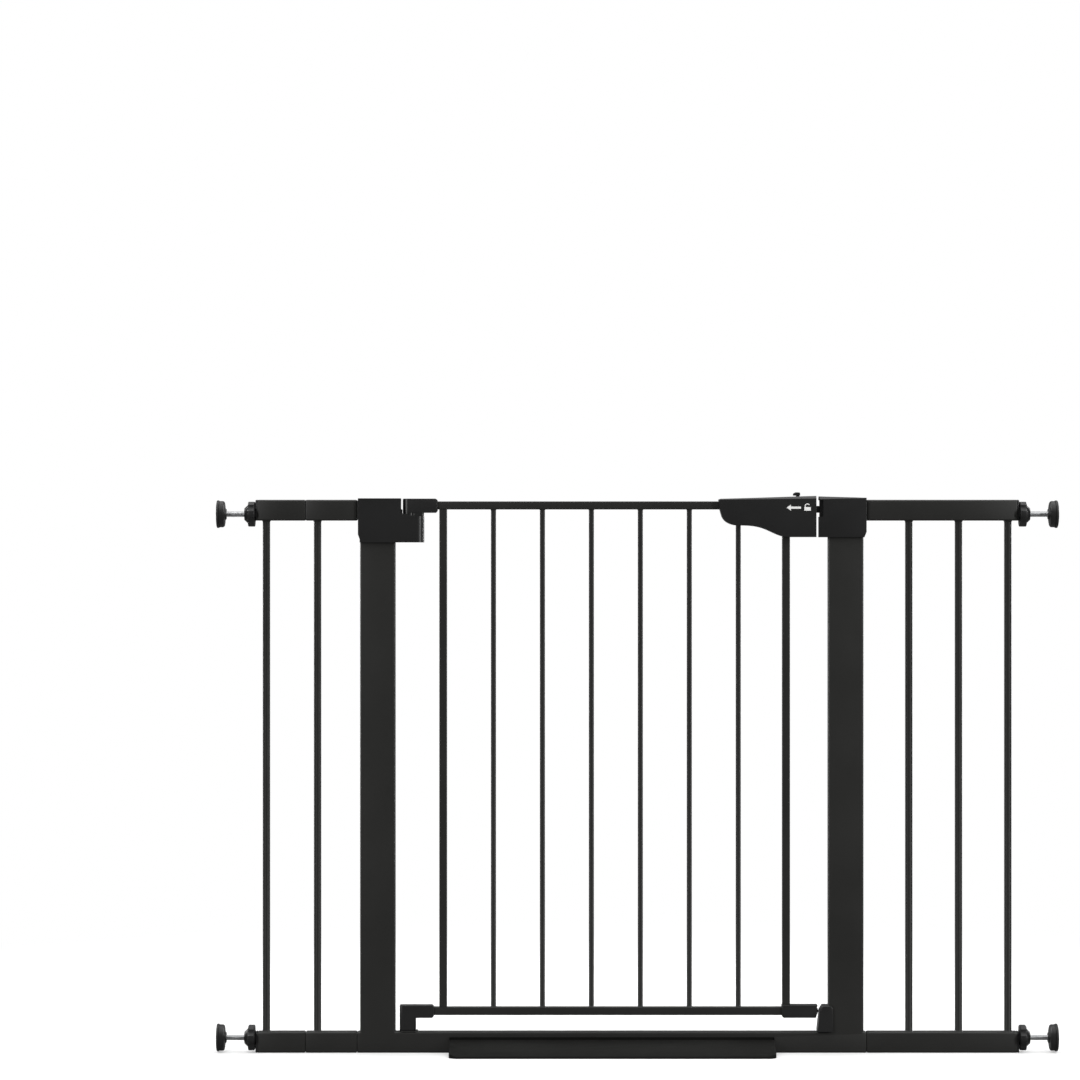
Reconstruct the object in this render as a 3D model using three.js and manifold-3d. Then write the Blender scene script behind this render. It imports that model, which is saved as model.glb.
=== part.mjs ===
// A pressure-mounted walk-through safety gate: a steel U-frame with a swinging door, two extension
// panels on the left, one on the right, and four threaded wall spindles.
// Millimetres. +X runs across the doorway, +Y away from the viewer, +Z up. Z = 0 is the floor.
import * as THREE from "three";
import { mergeVertices } from "three/addons/utils/BufferGeometryUtils.js";
import Module from "manifold-3d";

const wasm = await Module();
wasm.setup();

// ---------------------------------------------------------------- driving dimensions
const GAP = 0.3; // clearance between neighbouring pieces
const FAR = 1000; // beyond every piece
const END_CHAMFER = 2.4; // of the mouldings' outer ends
const REACH = 586; // wall pad face, from the middle of the gate
const TUBE = { height: 29, depth: 20, wall: 1.3, radius: 2.5 };
const TOP_TUBE_Z = 755.5;
const BOTTOM_TUBE_Z = TUBE.height / 2;
const POST = { width: 49, leftX: -361.5, rightX: 290.5, topZ: 770 };
const THRESHOLD = { fromX: -390, toX: 319 };
const LEFT_SEAM_X = -462; // joint between the two left extensions
const TUBE_END_X = 529.5; // where the outermost tubes stop
const SPIGOT = { length: 40, root: 20, weld: 0.3, play: 0.3, window: 4 };
const PLUG = { plate: 2, body: 14, chamfer: 1.8, bore: 4.4 };
const SPINDLE = { topZ: 750, bottomZ: 20.2, radius: 4, innerX: 470, tipX: 578, chamfer: 0.8 };
const NUT = { fromX: 532, toX: 547.5, radius: 18, lobes: 6, lobeDepth: 2.2, bore: 4.3, hub: 11, tip: 8.5 };
const NUT_RIM = { inset: 0.9, bevel: 1.6, flat: 6, pointsPerLobe: 6 };
const PAD = { fromX: 572.7, rim: 19.3, cup: 18.3, boss: 7.5, socket: 4.3 };
const EXTENSION_BAR = { diameter: 10.3, wall: 1, leftX: [-445.7, -517], rightX: [378.8, 448.1, 516.9] };

const HINGE_X = -318.6; // vertical axis that the door turns about
const RAIL = { size: 11.3, wall: 1.1, radius: 1.2, topZ: 762.2, bottomZ: 57.6, fromX: -300 };
const UPRIGHT = { width: 10.7, hingeX: -270.5, latchX: 207.5 };
const DOOR_BAR = { diameter: 7.1, firstX: -200.4, pitch: 68.28, count: 6 };

const HOUSING = { halfDepth: 14, bevel: 1.5, split: 0.15 };
const HINGE_BLOCK = {
  leftX: -388.8, rightX: -297, topZ: 772, bottomZ: 710.6, shoulderZ: 722, waistZ: 715,
  seatZ: 751.6, slotX: -329.5, shelfX: -307, shelfZ: 746.8, corner: 11.5,
};
const SLOT_STEP = { fromX: -333.5, toX: -327.6, halfDepth: 11, fromZ: 747.6, toZ: 757 };
const ARM_RIB = { fromX: -313, toX: -297.4, halfDepth: 8.2, fromZ: 745, toZ: 751.8, corner: 3 };
const HINGE_PIN = { radius: 3.5, play: 0.3, bottomZ: 713, topZ: 766, chamfer: 0.8 };
const HINGE_POCKET = { radius: 10, floorZ: 742, boss: 8.2, bossZ: 743 };
const CLOSING_SPRING = { cavity: 9.2, fromZ: 719, toZ: 739, coil: 6.5, wire: 0.9, turns: 5 };
const HINGE_CAP = {
  leftX: -324.8, rightX: -278.3, bottomZ: 752.2, topZ: 771.7, halfDepth: 8.5, nose: 8, roof: 2.2,
};
const ELBOW = { leftX: -331, legX: -308.4, rightX: -283.5, bottomZ: 48.4, topZ: 65.7, footZ: 30.8, corner: 4 };
const LOWER_PIN = { radius: 4, flange: 13, flangeTop: 30.5, topZ: 54, play: 0.3, headroom: 4.2 };

const STRIKE = { leftX: 253.6, rightX: 318.9, topLeftZ: 774.7, topRightZ: 772.8, bottomZ: 717.8, cut: [3, 7.6] };
// The keeper is the strike's notch for the bolt's head, with a cheek before and behind the head, and room
// for the head to rise with the door.
const KEEPER = { toX: 258.6, bottomZ: 746.3, topZ: 769.6, liftZ: 773.1, cheekX: 254.4, innerY: 4.9, outerY: 6.6 };
const BOLT = { tailX: 223, neckX: 254.2, headX: 258.2, bottomZ: 752, topZ: 761.5, halfDepth: 4.5 };
const BOLT_HEAD = { bottomZ: 746.7, topZ: 769.2, halfDepth: 4 };
const LATCH_SPRING = { fromX: 214, toX: 242.5, coil: 2.1, wire: 0.45, turns: 8, bore: 3.1 };
const LATCH_TRAVEL = 8;
const LATCH_ROOM_PLAY = 0.5;
const BUTTON = { fromX: 217.5, toX: 227, stemX: 221.5, padZ: 775.9, topZ: 780.5, halfDepth: 6, bevel: 0.8 };
const BUTTON_STEM = { halfDepth: 3, inset: 0.6, play: 0.4 };
const HANDLE = { endX: 249.1, halfDepth: 14, bevel: 2.2 };
const CAP_BEVEL = 1; // of the foot, the stop and the hinge mouldings
const FOOT = {
  leftX: 201.4, bottomZ: 48.5, topZ: 66.3, halfDepth: 8.5,
  nose: [[248.6, 48.5], [250.9, 55], [252.3, 58], [250.4, 63.5], [251.3, 66.3]],
};
const STOP = { halfDepth: 13.5, leftX: 250.5, rightX: 272.4, slope: [[272.4, 62], [269, 65.6], [258, 65.6]],
  throat: [[253.5, 58.6], [253.5, 55.5]] };
const RAMP = {
  fromX: -261.5, toX: 190.5, flangeZ: 22.6, crestZ: 18.2, reach: 58, lip: 3.2, lipSlope: [1.6, 1.2],
  flange: 2, crest: 4, skin: 2.2, corner: 12, ribs: 6,
};

// ---------------------------------------------------------------- finishes
const paint = (color, roughness, metalness) => new THREE.MeshStandardMaterial({ color, roughness, metalness });
const STEEL = paint(0x2c2c2a, 0.55, 0.4); // satin black powder coat
const PLASTIC = paint(0x222222, 0.5, 0); // moulded black plastic
const RAMP_PLASTIC = paint(0x292a28, 0.6, 0);
const ZINC = paint(0xa5a6a8, 0.35, 0.9); // plated threaded rod and pins
const SPRING_STEEL = paint(0x8c8f94, 0.3, 0.95);
const RUBBER = paint(0x2a2a2a, 0.45, 0);

// ---------------------------------------------------------------- solids, joins and cuts
/** A closed geometry as a manifold solid. */
function solid(geometry) {
  const bare = geometry.index ? geometry.toNonIndexed() : geometry.clone();
  bare.deleteAttribute("normal");
  bare.deleteAttribute("uv");
  const merged = mergeVertices(bare, 1e-4);
  return new wasm.Manifold(
    new wasm.Mesh({
      numProp: 3,
      vertProperties: merged.attributes.position.array,
      triVerts: new Uint32Array(merged.index.array),
    }),
  );
}

/** A manifold solid as a flat-shaded geometry. */
function geometryOf(body) {
  const mesh = body.getMesh();
  const positions = new Float32Array(mesh.numVert * 3);
  for (let i = 0; i < mesh.numVert; i++) {
    positions.set(mesh.vertProperties.subarray(i * mesh.numProp, i * mesh.numProp + 3), i * 3);
  }
  const geometry = new THREE.BufferGeometry();
  geometry.setAttribute("position", new THREE.BufferAttribute(positions, 3));
  geometry.setIndex(new THREE.BufferAttribute(new Uint32Array(mesh.triVerts), 1));
  geometry.computeVertexNormals();
  return geometry;
}

const cut = (body, ...tools) => tools.reduce((left, tool) => left.subtract(tool), body);
const join = (body, ...others) => others.reduce((sum, other) => sum.add(other), body);

/** An axis-aligned box between two corners. */
function box(x0, x1, y0, y1, z0, z1) {
  const geometry = new THREE.BoxGeometry(x1 - x0, y1 - y0, z1 - z0);
  return solid(geometry.translate((x0 + x1) / 2, (y0 + y1) / 2, (z0 + z1) / 2));
}

// Extrusions are drawn in a plane and run along the third direction.
const ALONG_X = new THREE.Matrix4().makeBasis(
  new THREE.Vector3(0, 1, 0),
  new THREE.Vector3(0, 0, 1),
  new THREE.Vector3(1, 0, 0),
);
const ALONG_MINUS_Y = new THREE.Matrix4().makeBasis(
  new THREE.Vector3(1, 0, 0),
  new THREE.Vector3(0, 0, 1),
  new THREE.Vector3(0, -1, 0),
);
const ALONG_Z = new THREE.Matrix4();

/** A rectangle with rounded corners, centred on (cx, cy). */
function roundedRectangle(width, height, radius, cx = 0, cy = 0) {
  const shape = new THREE.Shape();
  const x = width / 2 - radius;
  const y = height / 2 - radius;
  const quarter = Math.PI / 2;
  shape.absarc(cx + x, cy + y, radius, 0, quarter);
  shape.absarc(cx - x, cy + y, radius, quarter, 2 * quarter);
  shape.absarc(cx - x, cy - y, radius, 2 * quarter, 3 * quarter);
  shape.absarc(cx + x, cy - y, radius, 3 * quarter, 4 * quarter);
  shape.closePath();
  return shape;
}

/** A straight extrusion of a shape from one station to another. */
function prism(shape, direction, from, to, curveSegments = 1) {
  const geometry = new THREE.ExtrudeGeometry(shape, { depth: to - from, bevelEnabled: false, curveSegments });
  return solid(geometry.translate(0, 0, from).applyMatrix4(direction));
}

/** An outline in X and Z with bevelled front and rear faces, centred on Y = 0. */
function slab(shape, halfDepth, bevel, curveSegments = 5) {
  const geometry = new THREE.ExtrudeGeometry(shape, {
    depth: 2 * (halfDepth - bevel),
    bevelThickness: bevel,
    bevelSize: bevel,
    bevelOffset: -bevel,
    bevelSegments: 2,
    curveSegments,
  });
  return solid(geometry.translate(0, 0, -(halfDepth - bevel)).applyMatrix4(ALONG_MINUS_Y));
}

/** A polygon in the plane of an extrusion. */
const polygon = (points) => new THREE.Shape(points.map(([x, y]) => new THREE.Vector2(x, y)));

/** A hollow rectangular tube, open at both ends. */
function hollow(width, height, wall, radius, direction, from, to, cx, cy) {
  const outer = prism(roundedRectangle(width, height, radius, cx, cy), direction, from, to);
  const innerShape = roundedRectangle(width - 2 * wall, height - 2 * wall, Math.max(radius - wall, 0.4), cx, cy);
  return cut(outer, prism(innerShape, direction, from - 1, to + 1));
}

/** A solid of revolution about the vertical line through (x, 0): profile of [radius, z]. */
function turned(profile, x, segments) {
  const points = profile.map(([r, z]) => new THREE.Vector2(r, z));
  const geometry = new THREE.LatheGeometry(points, segments);
  return solid(geometry.rotateX(Math.PI / 2).translate(x, 0, 0));
}

/** A vertical cylinder at a place along the gate. */
const cylinder = (radius, x, z0, z1, segments = 24) =>
  turned([[0, z0], [radius, z0], [radius, z1], [0, z1]], x, segments);

/** A solid of revolution about the X axis: profile of [radius, x]. */
function alongX(profile, segments) {
  const points = profile.map(([r, x]) => new THREE.Vector2(r, x));
  return solid(new THREE.LatheGeometry(points, segments).rotateZ(-Math.PI / 2));
}

/** A straight bore about the X axis. */
const drill = (radius, x0, x1, segments = 16) =>
  alongX([[0, x0], [radius, x0], [radius, x1], [0, x1]], segments);

/** The part of a solid in front of (-1) or behind (+1) the parting plane. */
function half(body, side) {
  const inner = HOUSING.split;
  return side < 0
    ? body.intersect(box(-FAR, FAR, -FAR, -inner, -FAR, FAR))
    : body.intersect(box(-FAR, FAR, inner, FAR, -FAR, FAR));
}

/** A coil spring with flat-cut ends: a wire swept along a helix on the Z axis. */
function coil(radius, wire, turns, length, stepsPerTurn = 8) {
  const sides = 6;
  const section = polygon(
    Array.from({ length: sides }, (_, i) => {
      const angle = (2 * Math.PI * i) / sides;
      return [wire * Math.cos(angle), wire * Math.sin(angle)];
    }),
  );
  class Helix extends THREE.Curve {
    getPoint(t, target = new THREE.Vector3()) {
      const angle = 2 * Math.PI * turns * t;
      return target.set(radius * Math.cos(angle), radius * Math.sin(angle), wire + (length - 2 * wire) * t);
    }
  }
  return new THREE.ExtrudeGeometry(section, {
    steps: turns * stepsPerTurn,
    extrudePath: new Helix(),
  });
}

// ---------------------------------------------------------------- the object
const gate = new THREE.Group();
gate.name = "safety_gate";

/** Adds one named piece to an assembly. */
function add(group, name, shape, material) {
  const geometry = shape.isBufferGeometry ? shape : geometryOf(shape);
  const mesh = new THREE.Mesh(geometry, material);
  mesh.name = name;
  group.add(mesh);
  return mesh;
}

// ---------------------------------------------------------------- U-frame
/** An upright of the U-frame, with the window that an extension's spigot passes through. */
function post(centreX, outwards) {
  const shell = hollow(
    POST.width, TUBE.depth, TUBE.wall, TUBE.radius, ALONG_Z, TUBE.height + GAP, POST.topZ, centreX, 0,
  );
  const face = centreX + (outwards * POST.width) / 2;
  const halfHeight = TUBE.height / 2 - TUBE.wall;
  const halfDepth = TUBE.depth / 2 - TUBE.wall - SPIGOT.play / 3;
  const window = box(
    face - SPIGOT.window, face + SPIGOT.window, -halfDepth, halfDepth,
    TOP_TUBE_Z - halfHeight, TOP_TUBE_Z + halfHeight,
  );
  return cut(shell, window);
}

/** A horizontal tube of the frame's own section. */
const frameTube = (x0, x1, z) =>
  hollow(TUBE.depth, TUBE.height, TUBE.wall, TUBE.radius, ALONG_X, x0, x1, 0, z);

function addFrame(group) {
  const leftFace = POST.leftX - POST.width / 2;
  const rightFace = POST.rightX + POST.width / 2;
  add(group, "left_post", post(POST.leftX, -1), STEEL);
  add(group, "right_post", post(POST.rightX, 1), STEEL);
  add(group, "threshold_tube", frameTube(THRESHOLD.fromX, THRESHOLD.toX, BOTTOM_TUBE_Z), STEEL);
  add(group, "left_top_stub", frameTube(THRESHOLD.fromX, leftFace - GAP, TOP_TUBE_Z), STEEL);
  add(group, "right_top_stub", frameTube(rightFace + GAP, THRESHOLD.toX, TOP_TUBE_Z), STEEL);
}

// ---------------------------------------------------------------- extensions
/** An extension tube from its inner end to its outer end, with a spigot that slides into its neighbour. */
function extensionTube(innerX, outerX, z) {
  const outwards = Math.sign(outerX - innerX);
  const bore = { height: TUBE.height - 2 * TUBE.wall, depth: TUBE.depth - 2 * TUBE.wall };
  const tube = frameTube(Math.min(innerX, outerX), Math.max(innerX, outerX), z);
  const sleeve = (from, to, extra) =>
    hollow(
      bore.depth + extra, bore.height + extra, TUBE.wall, TUBE.radius - TUBE.wall, ALONG_X,
      Math.min(from, to), Math.max(from, to), 0, z,
    );
  const root = sleeve(innerX, innerX + outwards * SPIGOT.root, SPIGOT.weld);
  const tongue = sleeve(innerX + outwards, innerX - outwards * SPIGOT.length, -2 * SPIGOT.play);
  return join(tube, root, tongue);
}

/** A round tube between the two horizontal tubes of an extension. */
function extensionBar(x) {
  const radius = EXTENSION_BAR.diameter / 2;
  const z0 = TUBE.height + GAP;
  const z1 = TOP_TUBE_Z - TUBE.height / 2 - GAP;
  const bore = cylinder(radius - EXTENSION_BAR.wall, x, z0 - GAP, z1 + GAP, 12);
  return cut(cylinder(radius, x, z0, z1, 16), bore);
}

function addExtensions(group) {
  const [innerBarX, outerBarX] = EXTENSION_BAR.leftX;
  for (const [level, z] of [["top", TOP_TUBE_Z], ["bottom", BOTTOM_TUBE_Z]]) {
    add(group, `left_inner_${level}_tube`, extensionTube(THRESHOLD.fromX - GAP, LEFT_SEAM_X, z), STEEL);
    add(group, `left_outer_${level}_tube`, extensionTube(LEFT_SEAM_X - GAP, -TUBE_END_X, z), STEEL);
    add(group, `right_${level}_tube`, extensionTube(THRESHOLD.toX + GAP, TUBE_END_X, z), STEEL);
  }
  add(group, "left_inner_bar", extensionBar(innerBarX), STEEL);
  add(group, "left_outer_bar", extensionBar(outerBarX), STEEL);
  EXTENSION_BAR.rightX.forEach((x, i) => add(group, `right_bar_${i + 1}`, extensionBar(x), STEEL));
}

// ---------------------------------------------------------------- wall spindles
/** The moulded plug in a tube's end, bored for the spindle. Drawn for the right-hand side, bore on Z = 0. */
function endPlug(tubeZ, spindleZ) {
  const z = tubeZ - spindleZ;
  const bore = { height: TUBE.height - 2 * TUBE.wall, depth: TUBE.depth - 2 * TUBE.wall };
  const seat = TUBE_END_X + GAP;
  const plate = new THREE.ExtrudeGeometry(
    roundedRectangle(TUBE.depth, TUBE.height, TUBE.radius, 0, z),
    {
      depth: PLUG.plate - PLUG.chamfer,
      bevelThickness: PLUG.chamfer,
      bevelSize: PLUG.chamfer,
      bevelOffset: -PLUG.chamfer,
      bevelSegments: 1,
      curveSegments: 1,
    },
  );
  const plateSolid = solid(plate.translate(0, 0, seat).applyMatrix4(ALONG_X));
  const trimmed = plateSolid.intersect(box(seat, FAR, -FAR, FAR, -FAR, FAR));
  const tongueShape = roundedRectangle(
    bore.depth - 2 * SPIGOT.play, bore.height - 2 * SPIGOT.play, TUBE.radius - TUBE.wall, 0, z,
  );
  const tongue = prism(tongueShape, ALONG_X, seat - PLUG.body, seat + PLUG.plate / 2);
  return cut(join(trimmed, tongue), drill(PLUG.bore, seat - 2 * PLUG.body, seat + 2 * PLUG.body));
}

/** The threaded rod, drawn at its major diameter. */
function spindleRod() {
  const { radius, innerX, tipX, chamfer } = SPINDLE;
  return alongX(
    [[0, innerX], [radius - chamfer, innerX], [radius, innerX + chamfer], [radius, tipX], [0, tipX]], 16,
  );
}

/** The lobed hand nut that drives the rod out against the wall. */
function starNut() {
  const { fromX, toX, radius, lobes, lobeDepth, bore, hub, tip } = NUT;
  const { inset, bevel, flat, pointsPerLobe } = NUT_RIM;
  const outline = [];
  const steps = lobes * pointsPerLobe;
  for (let i = 0; i < steps; i++) {
    const angle = (2 * Math.PI * i) / steps;
    const r = radius - lobeDepth * (0.5 - 0.5 * Math.cos(lobes * angle));
    outline.push([r * Math.cos(angle), r * Math.sin(angle)]);
  }
  const rim = new THREE.ExtrudeGeometry(polygon(outline), {
    depth: flat,
    bevelThickness: bevel,
    bevelSize: bevel,
    bevelOffset: -bevel,
    bevelSegments: 1,
  });
  const wheel = solid(rim.translate(0, 0, fromX + inset + bevel).applyMatrix4(ALONG_X));
  const shoulderX = fromX + inset + bevel + flat;
  const core = alongX(
    [[0, fromX], [hub, fromX], [hub, shoulderX], [hub + bevel, shoulderX + bevel], [tip, toX], [0, toX]], 24,
  );
  return cut(join(wheel, core), drill(bore, fromX - GAP, toX + GAP));
}

/** The wall pad: a cup on the rod's end with a soft facing. */
function wallPad() {
  const { fromX, rim, cup, boss, socket } = PAD;
  const socketX = SPINDLE.tipX + GAP;
  return alongX(
    [
      [0, socketX], [socket, socketX], [socket, fromX], [boss, fromX], [boss + 1, fromX + 1.8],
      [cup - 2, fromX + 2.4], [cup, fromX + 4], [cup, REACH - 3.6], [rim, REACH - 3], [rim, REACH - 0.8],
      [rim - 0.8, REACH], [0, REACH],
    ],
    28,
  );
}

function addSpindles(group) {
  const plug = { top: endPlug(TOP_TUBE_Z, SPINDLE.topZ), bottom: endPlug(BOTTOM_TUBE_Z, SPINDLE.bottomZ) };
  const rod = geometryOf(spindleRod());
  const nut = geometryOf(starNut());
  const pad = geometryOf(wallPad());
  for (const [side, turn] of [["left", Math.PI], ["right", 0]]) {
    for (const [level, z] of [["top", SPINDLE.topZ], ["bottom", SPINDLE.bottomZ]]) {
      const corner = new THREE.Group();
      corner.position.z = z;
      corner.rotation.z = turn;
      add(corner, `${side}_${level}_end_plug`, plug[level], PLASTIC);
      add(corner, `${side}_${level}_spindle_rod`, rod, ZINC);
      add(corner, `${side}_${level}_star_nut`, nut, PLASTIC);
      add(corner, `${side}_${level}_wall_pad`, pad, RUBBER);
      group.add(corner);
    }
  }
}

// ---------------------------------------------------------------- upper hinge
/** The hinge housing's outline: a block clamped round the post, with an arm that carries the pivot. */
function hingeBlockOutline() {
  const { leftX, rightX, topZ, bottomZ, shoulderZ, waistZ, seatZ, slotX, shelfX, shelfZ } = HINGE_BLOCK;
  return polygon([[leftX, shoulderZ], [leftX + END_CHAMFER, waistZ], [leftX + END_CHAMFER, bottomZ],
    [rightX, bottomZ], [rightX, shelfZ], [shelfX, shelfZ], [slotX, seatZ], [slotX, topZ], [leftX, topZ]]);
}

/** The clear space that a post and its stub take inside a clamped housing. */
function postSpace(centreX, outwards) {
  const halfWidth = POST.width / 2 + GAP;
  const halfDepth = TUBE.depth / 2 + GAP;
  const halfHeight = TUBE.height / 2 + GAP;
  const shaft = box(centreX - halfWidth, centreX + halfWidth, -halfDepth, halfDepth, 0, POST.topZ + GAP);
  const passage = box(
    Math.min(centreX, centreX + outwards * POST.width), Math.max(centreX, centreX + outwards * POST.width),
    -halfDepth, halfDepth, TOP_TUBE_Z - halfHeight, TOP_TUBE_Z + halfHeight,
  );
  return join(shaft, passage);
}

/** The hinge housing as one block, before it is split into its front and rear shells. */
function hingeBlock() {
  const { rightX, leftX, bottomZ, topZ, corner } = HINGE_BLOCK;
  const step = box(
    SLOT_STEP.fromX, SLOT_STEP.toX, -SLOT_STEP.halfDepth, SLOT_STEP.halfDepth, SLOT_STEP.fromZ, SLOT_STEP.toZ,
  );
  const ribLength = ARM_RIB.toX - ARM_RIB.fromX;
  const ribPlan = roundedRectangle(
    ribLength, 2 * ARM_RIB.halfDepth, ARM_RIB.corner, ARM_RIB.toX - ribLength / 2, 0,
  );
  const rib = prism(ribPlan, ALONG_Z, ARM_RIB.fromZ, ARM_RIB.toZ, 2);
  const blank = join(slab(hingeBlockOutline(), HOUSING.halfDepth, HOUSING.bevel), step, rib);
  const width = rightX - leftX + corner;
  const plan = roundedRectangle(width, 2 * HOUSING.halfDepth, corner, rightX - width / 2, 0);
  const rounded = blank.intersect(prism(plan, ALONG_Z, 0, FAR, 3));
  const bore = cylinder(HINGE_PIN.radius + HINGE_PIN.play, HINGE_X, bottomZ - GAP, topZ);
  const springRoom = cylinder(CLOSING_SPRING.cavity, HINGE_X, CLOSING_SPRING.fromZ, CLOSING_SPRING.toZ);
  const pocket = cylinder(HINGE_POCKET.radius, HINGE_X, HINGE_POCKET.floorZ, topZ, 32);
  return cut(rounded, postSpace(POST.leftX, -1), bore, springRoom, pocket);
}

/** A bar's outline in X and Z, chamfered at its right-hand end. */
function armOutline(leftX, rightX, bottomZ, topZ) {
  return polygon([[leftX, bottomZ], [rightX - END_CHAMFER, bottomZ], [rightX, bottomZ + END_CHAMFER],
    [rightX, topZ - END_CHAMFER], [rightX - END_CHAMFER, topZ], [leftX, topZ]]);
}

/** The door's hinge cap: sleeved over the top rail, with a round boss in the housing's pocket. */
function hingeCap() {
  const { leftX, rightX, bottomZ, topZ, halfDepth, nose, roof } = HINGE_CAP;
  const plan = roundedRectangle(rightX - leftX + nose, 2 * halfDepth, nose, (leftX + rightX + nose) / 2, 0);
  const arm = prism(plan, ALONG_Z, bottomZ, topZ, 2);
  const boss = cylinder(HINGE_POCKET.boss, HINGE_X, HINGE_POCKET.bossZ, bottomZ + nose, 28);
  const bore = cylinder(HINGE_PIN.radius + HINGE_PIN.play, HINGE_X, HINGE_POCKET.floorZ, topZ - roof);
  const outside = slab(armOutline(leftX - nose, rightX, bottomZ, topZ), halfDepth + CAP_BEVEL / 2, CAP_BEVEL, 1);
  return cut(join(arm.intersect(outside), boss), bore, railSpace(RAIL.fromX, rightX + nose, RAIL.topZ));
}

/** The clear space round a stretch of rail. */
function railSpace(x0, x1, z) {
  const h = RAIL.size / 2 + GAP;
  return box(x0 - GAP, x1, -h, h, z - h, z + h);
}

function addUpperHinge(group) {
  const block = hingeBlock();
  add(group, "hinge_housing_front", half(block, -1), PLASTIC);
  add(group, "hinge_housing_rear", half(block, 1), PLASTIC);
  add(group, "door_upper_hinge_cap", hingeCap(), PLASTIC);
  const { radius, bottomZ, topZ, chamfer } = HINGE_PIN;
  const pin = turned(
    [[0, bottomZ], [radius, bottomZ], [radius, topZ - chamfer], [radius - chamfer, topZ], [0, topZ]], HINGE_X, 24,
  );
  add(group, "upper_hinge_pin", pin, ZINC);
  const { coil: radiusOfCoil, wire, turns, fromZ, toZ } = CLOSING_SPRING;
  const spring = coil(radiusOfCoil, wire, turns, toZ - fromZ - 2 * GAP);
  const placed = add(group, "closing_spring", spring, SPRING_STEEL);
  placed.position.set(HINGE_X, 0, fromZ + GAP);
}

// ---------------------------------------------------------------- lower hinge, foot and stop
/** The elbow that carries the door on the lower pin. */
function lowerElbow() {
  const { leftX, legX, rightX, bottomZ, topZ, footZ, corner } = ELBOW;
  const { halfDepth } = FOOT;
  const arm = slab(armOutline(leftX, rightX, bottomZ, topZ), halfDepth, CAP_BEVEL, 1);
  const width = rightX - leftX + corner;
  const plan = roundedRectangle(width, 2 * halfDepth + GAP, corner, leftX + width / 2, 0);
  const legPlan = roundedRectangle(legX - leftX, 2 * halfDepth, corner, (leftX + legX) / 2, 0);
  const leg = prism(legPlan, ALONG_Z, footZ, bottomZ + corner, 2);
  const bore = cylinder(LOWER_PIN.radius + LOWER_PIN.play, HINGE_X, footZ - GAP, LOWER_PIN.topZ + LOWER_PIN.headroom);
  return cut(join(arm.intersect(prism(plan, ALONG_Z, 0, FAR, 2)), leg), bore,
    railSpace(RAIL.fromX, rightX + corner, RAIL.bottomZ));
}

/** The block at the door's lower latch corner. */
function footCap() {
  const { leftX, bottomZ, topZ, halfDepth, nose } = FOOT;
  const outline = polygon([[leftX, bottomZ + END_CHAMFER], [leftX + END_CHAMFER, bottomZ], ...nose, [leftX, topZ]]);
  const railEnd = UPRIGHT.latchX + UPRIGHT.width / 2 + GAP;
  const rail = railSpace(leftX - GAP, railEnd, RAIL.bottomZ);
  const h = RAIL.size / 2 + GAP;
  const upright = box(leftX - GAP, railEnd, -h, h, RAIL.bottomZ, topZ + GAP);
  return cut(slab(outline, halfDepth, CAP_BEVEL, 1), rail, upright);
}

/** The wedge at the foot of the right post that the door's lower corner closes beside. */
function bottomStop() {
  const base = TUBE.height + GAP;
  const { leftX, rightX, slope, throat, halfDepth } = STOP;
  const outline = polygon([[leftX, base], [rightX, base], ...slope, ...throat]);
  const postEdge = POST.rightX - POST.width / 2 - GAP;
  const postGap = TUBE.depth / 2 + GAP;
  return cut(slab(outline, halfDepth, CAP_BEVEL, 1), box(postEdge, FAR, -postGap, postGap, 0, FAR));
}

/** The pin that the door's elbow turns on, with a collar no wider than the threshold tube. */
function lowerPin() {
  const { radius, flange, flangeTop, topZ } = LOWER_PIN;
  const base = TUBE.height + GAP;
  const pin = turned(
    [[0, base], [flange, base], [flange, flangeTop], [radius, flangeTop], [radius, topZ - 1],
      [radius - 1, topZ], [0, topZ]],
    HINGE_X, 32,
  );
  return pin.intersect(box(-FAR, FAR, -TUBE.depth / 2, TUBE.depth / 2, 0, FAR));
}

function addLowerParts(group) {
  add(group, "lower_hinge_pin", lowerPin(), STEEL);
  add(group, "door_lower_hinge_elbow", lowerElbow(), PLASTIC);
  add(group, "door_foot_cap", footCap(), PLASTIC);
  add(group, "bottom_stop", bottomStop(), PLASTIC);
}

// ---------------------------------------------------------------- door panel
function addDoorPanel(group) {
  const railEnd = UPRIGHT.latchX + UPRIGHT.width / 2;
  const rail = (z) => hollow(RAIL.size, RAIL.size, RAIL.wall, RAIL.radius, ALONG_X, RAIL.fromX, railEnd, 0, z);
  add(group, "door_top_rail", rail(RAIL.topZ), STEEL);
  add(group, "door_bottom_rail", rail(RAIL.bottomZ), STEEL);
  const z0 = RAIL.bottomZ + RAIL.size / 2 + GAP;
  const z1 = RAIL.topZ - RAIL.size / 2 - GAP;
  const upright = (x) => hollow(UPRIGHT.width, RAIL.size, RAIL.wall, RAIL.radius, ALONG_Z, z0, z1, x, 0);
  add(group, "door_hinge_upright", upright(UPRIGHT.hingeX), STEEL);
  add(group, "door_latch_upright", upright(UPRIGHT.latchX), STEEL);
  for (let i = 0; i < DOOR_BAR.count; i++) {
    const bar = cylinder(DOOR_BAR.diameter / 2, DOOR_BAR.firstX + i * DOOR_BAR.pitch, z0, z1, 16);
    add(group, `door_bar_${i + 1}`, bar, STEEL);
  }
}

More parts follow.
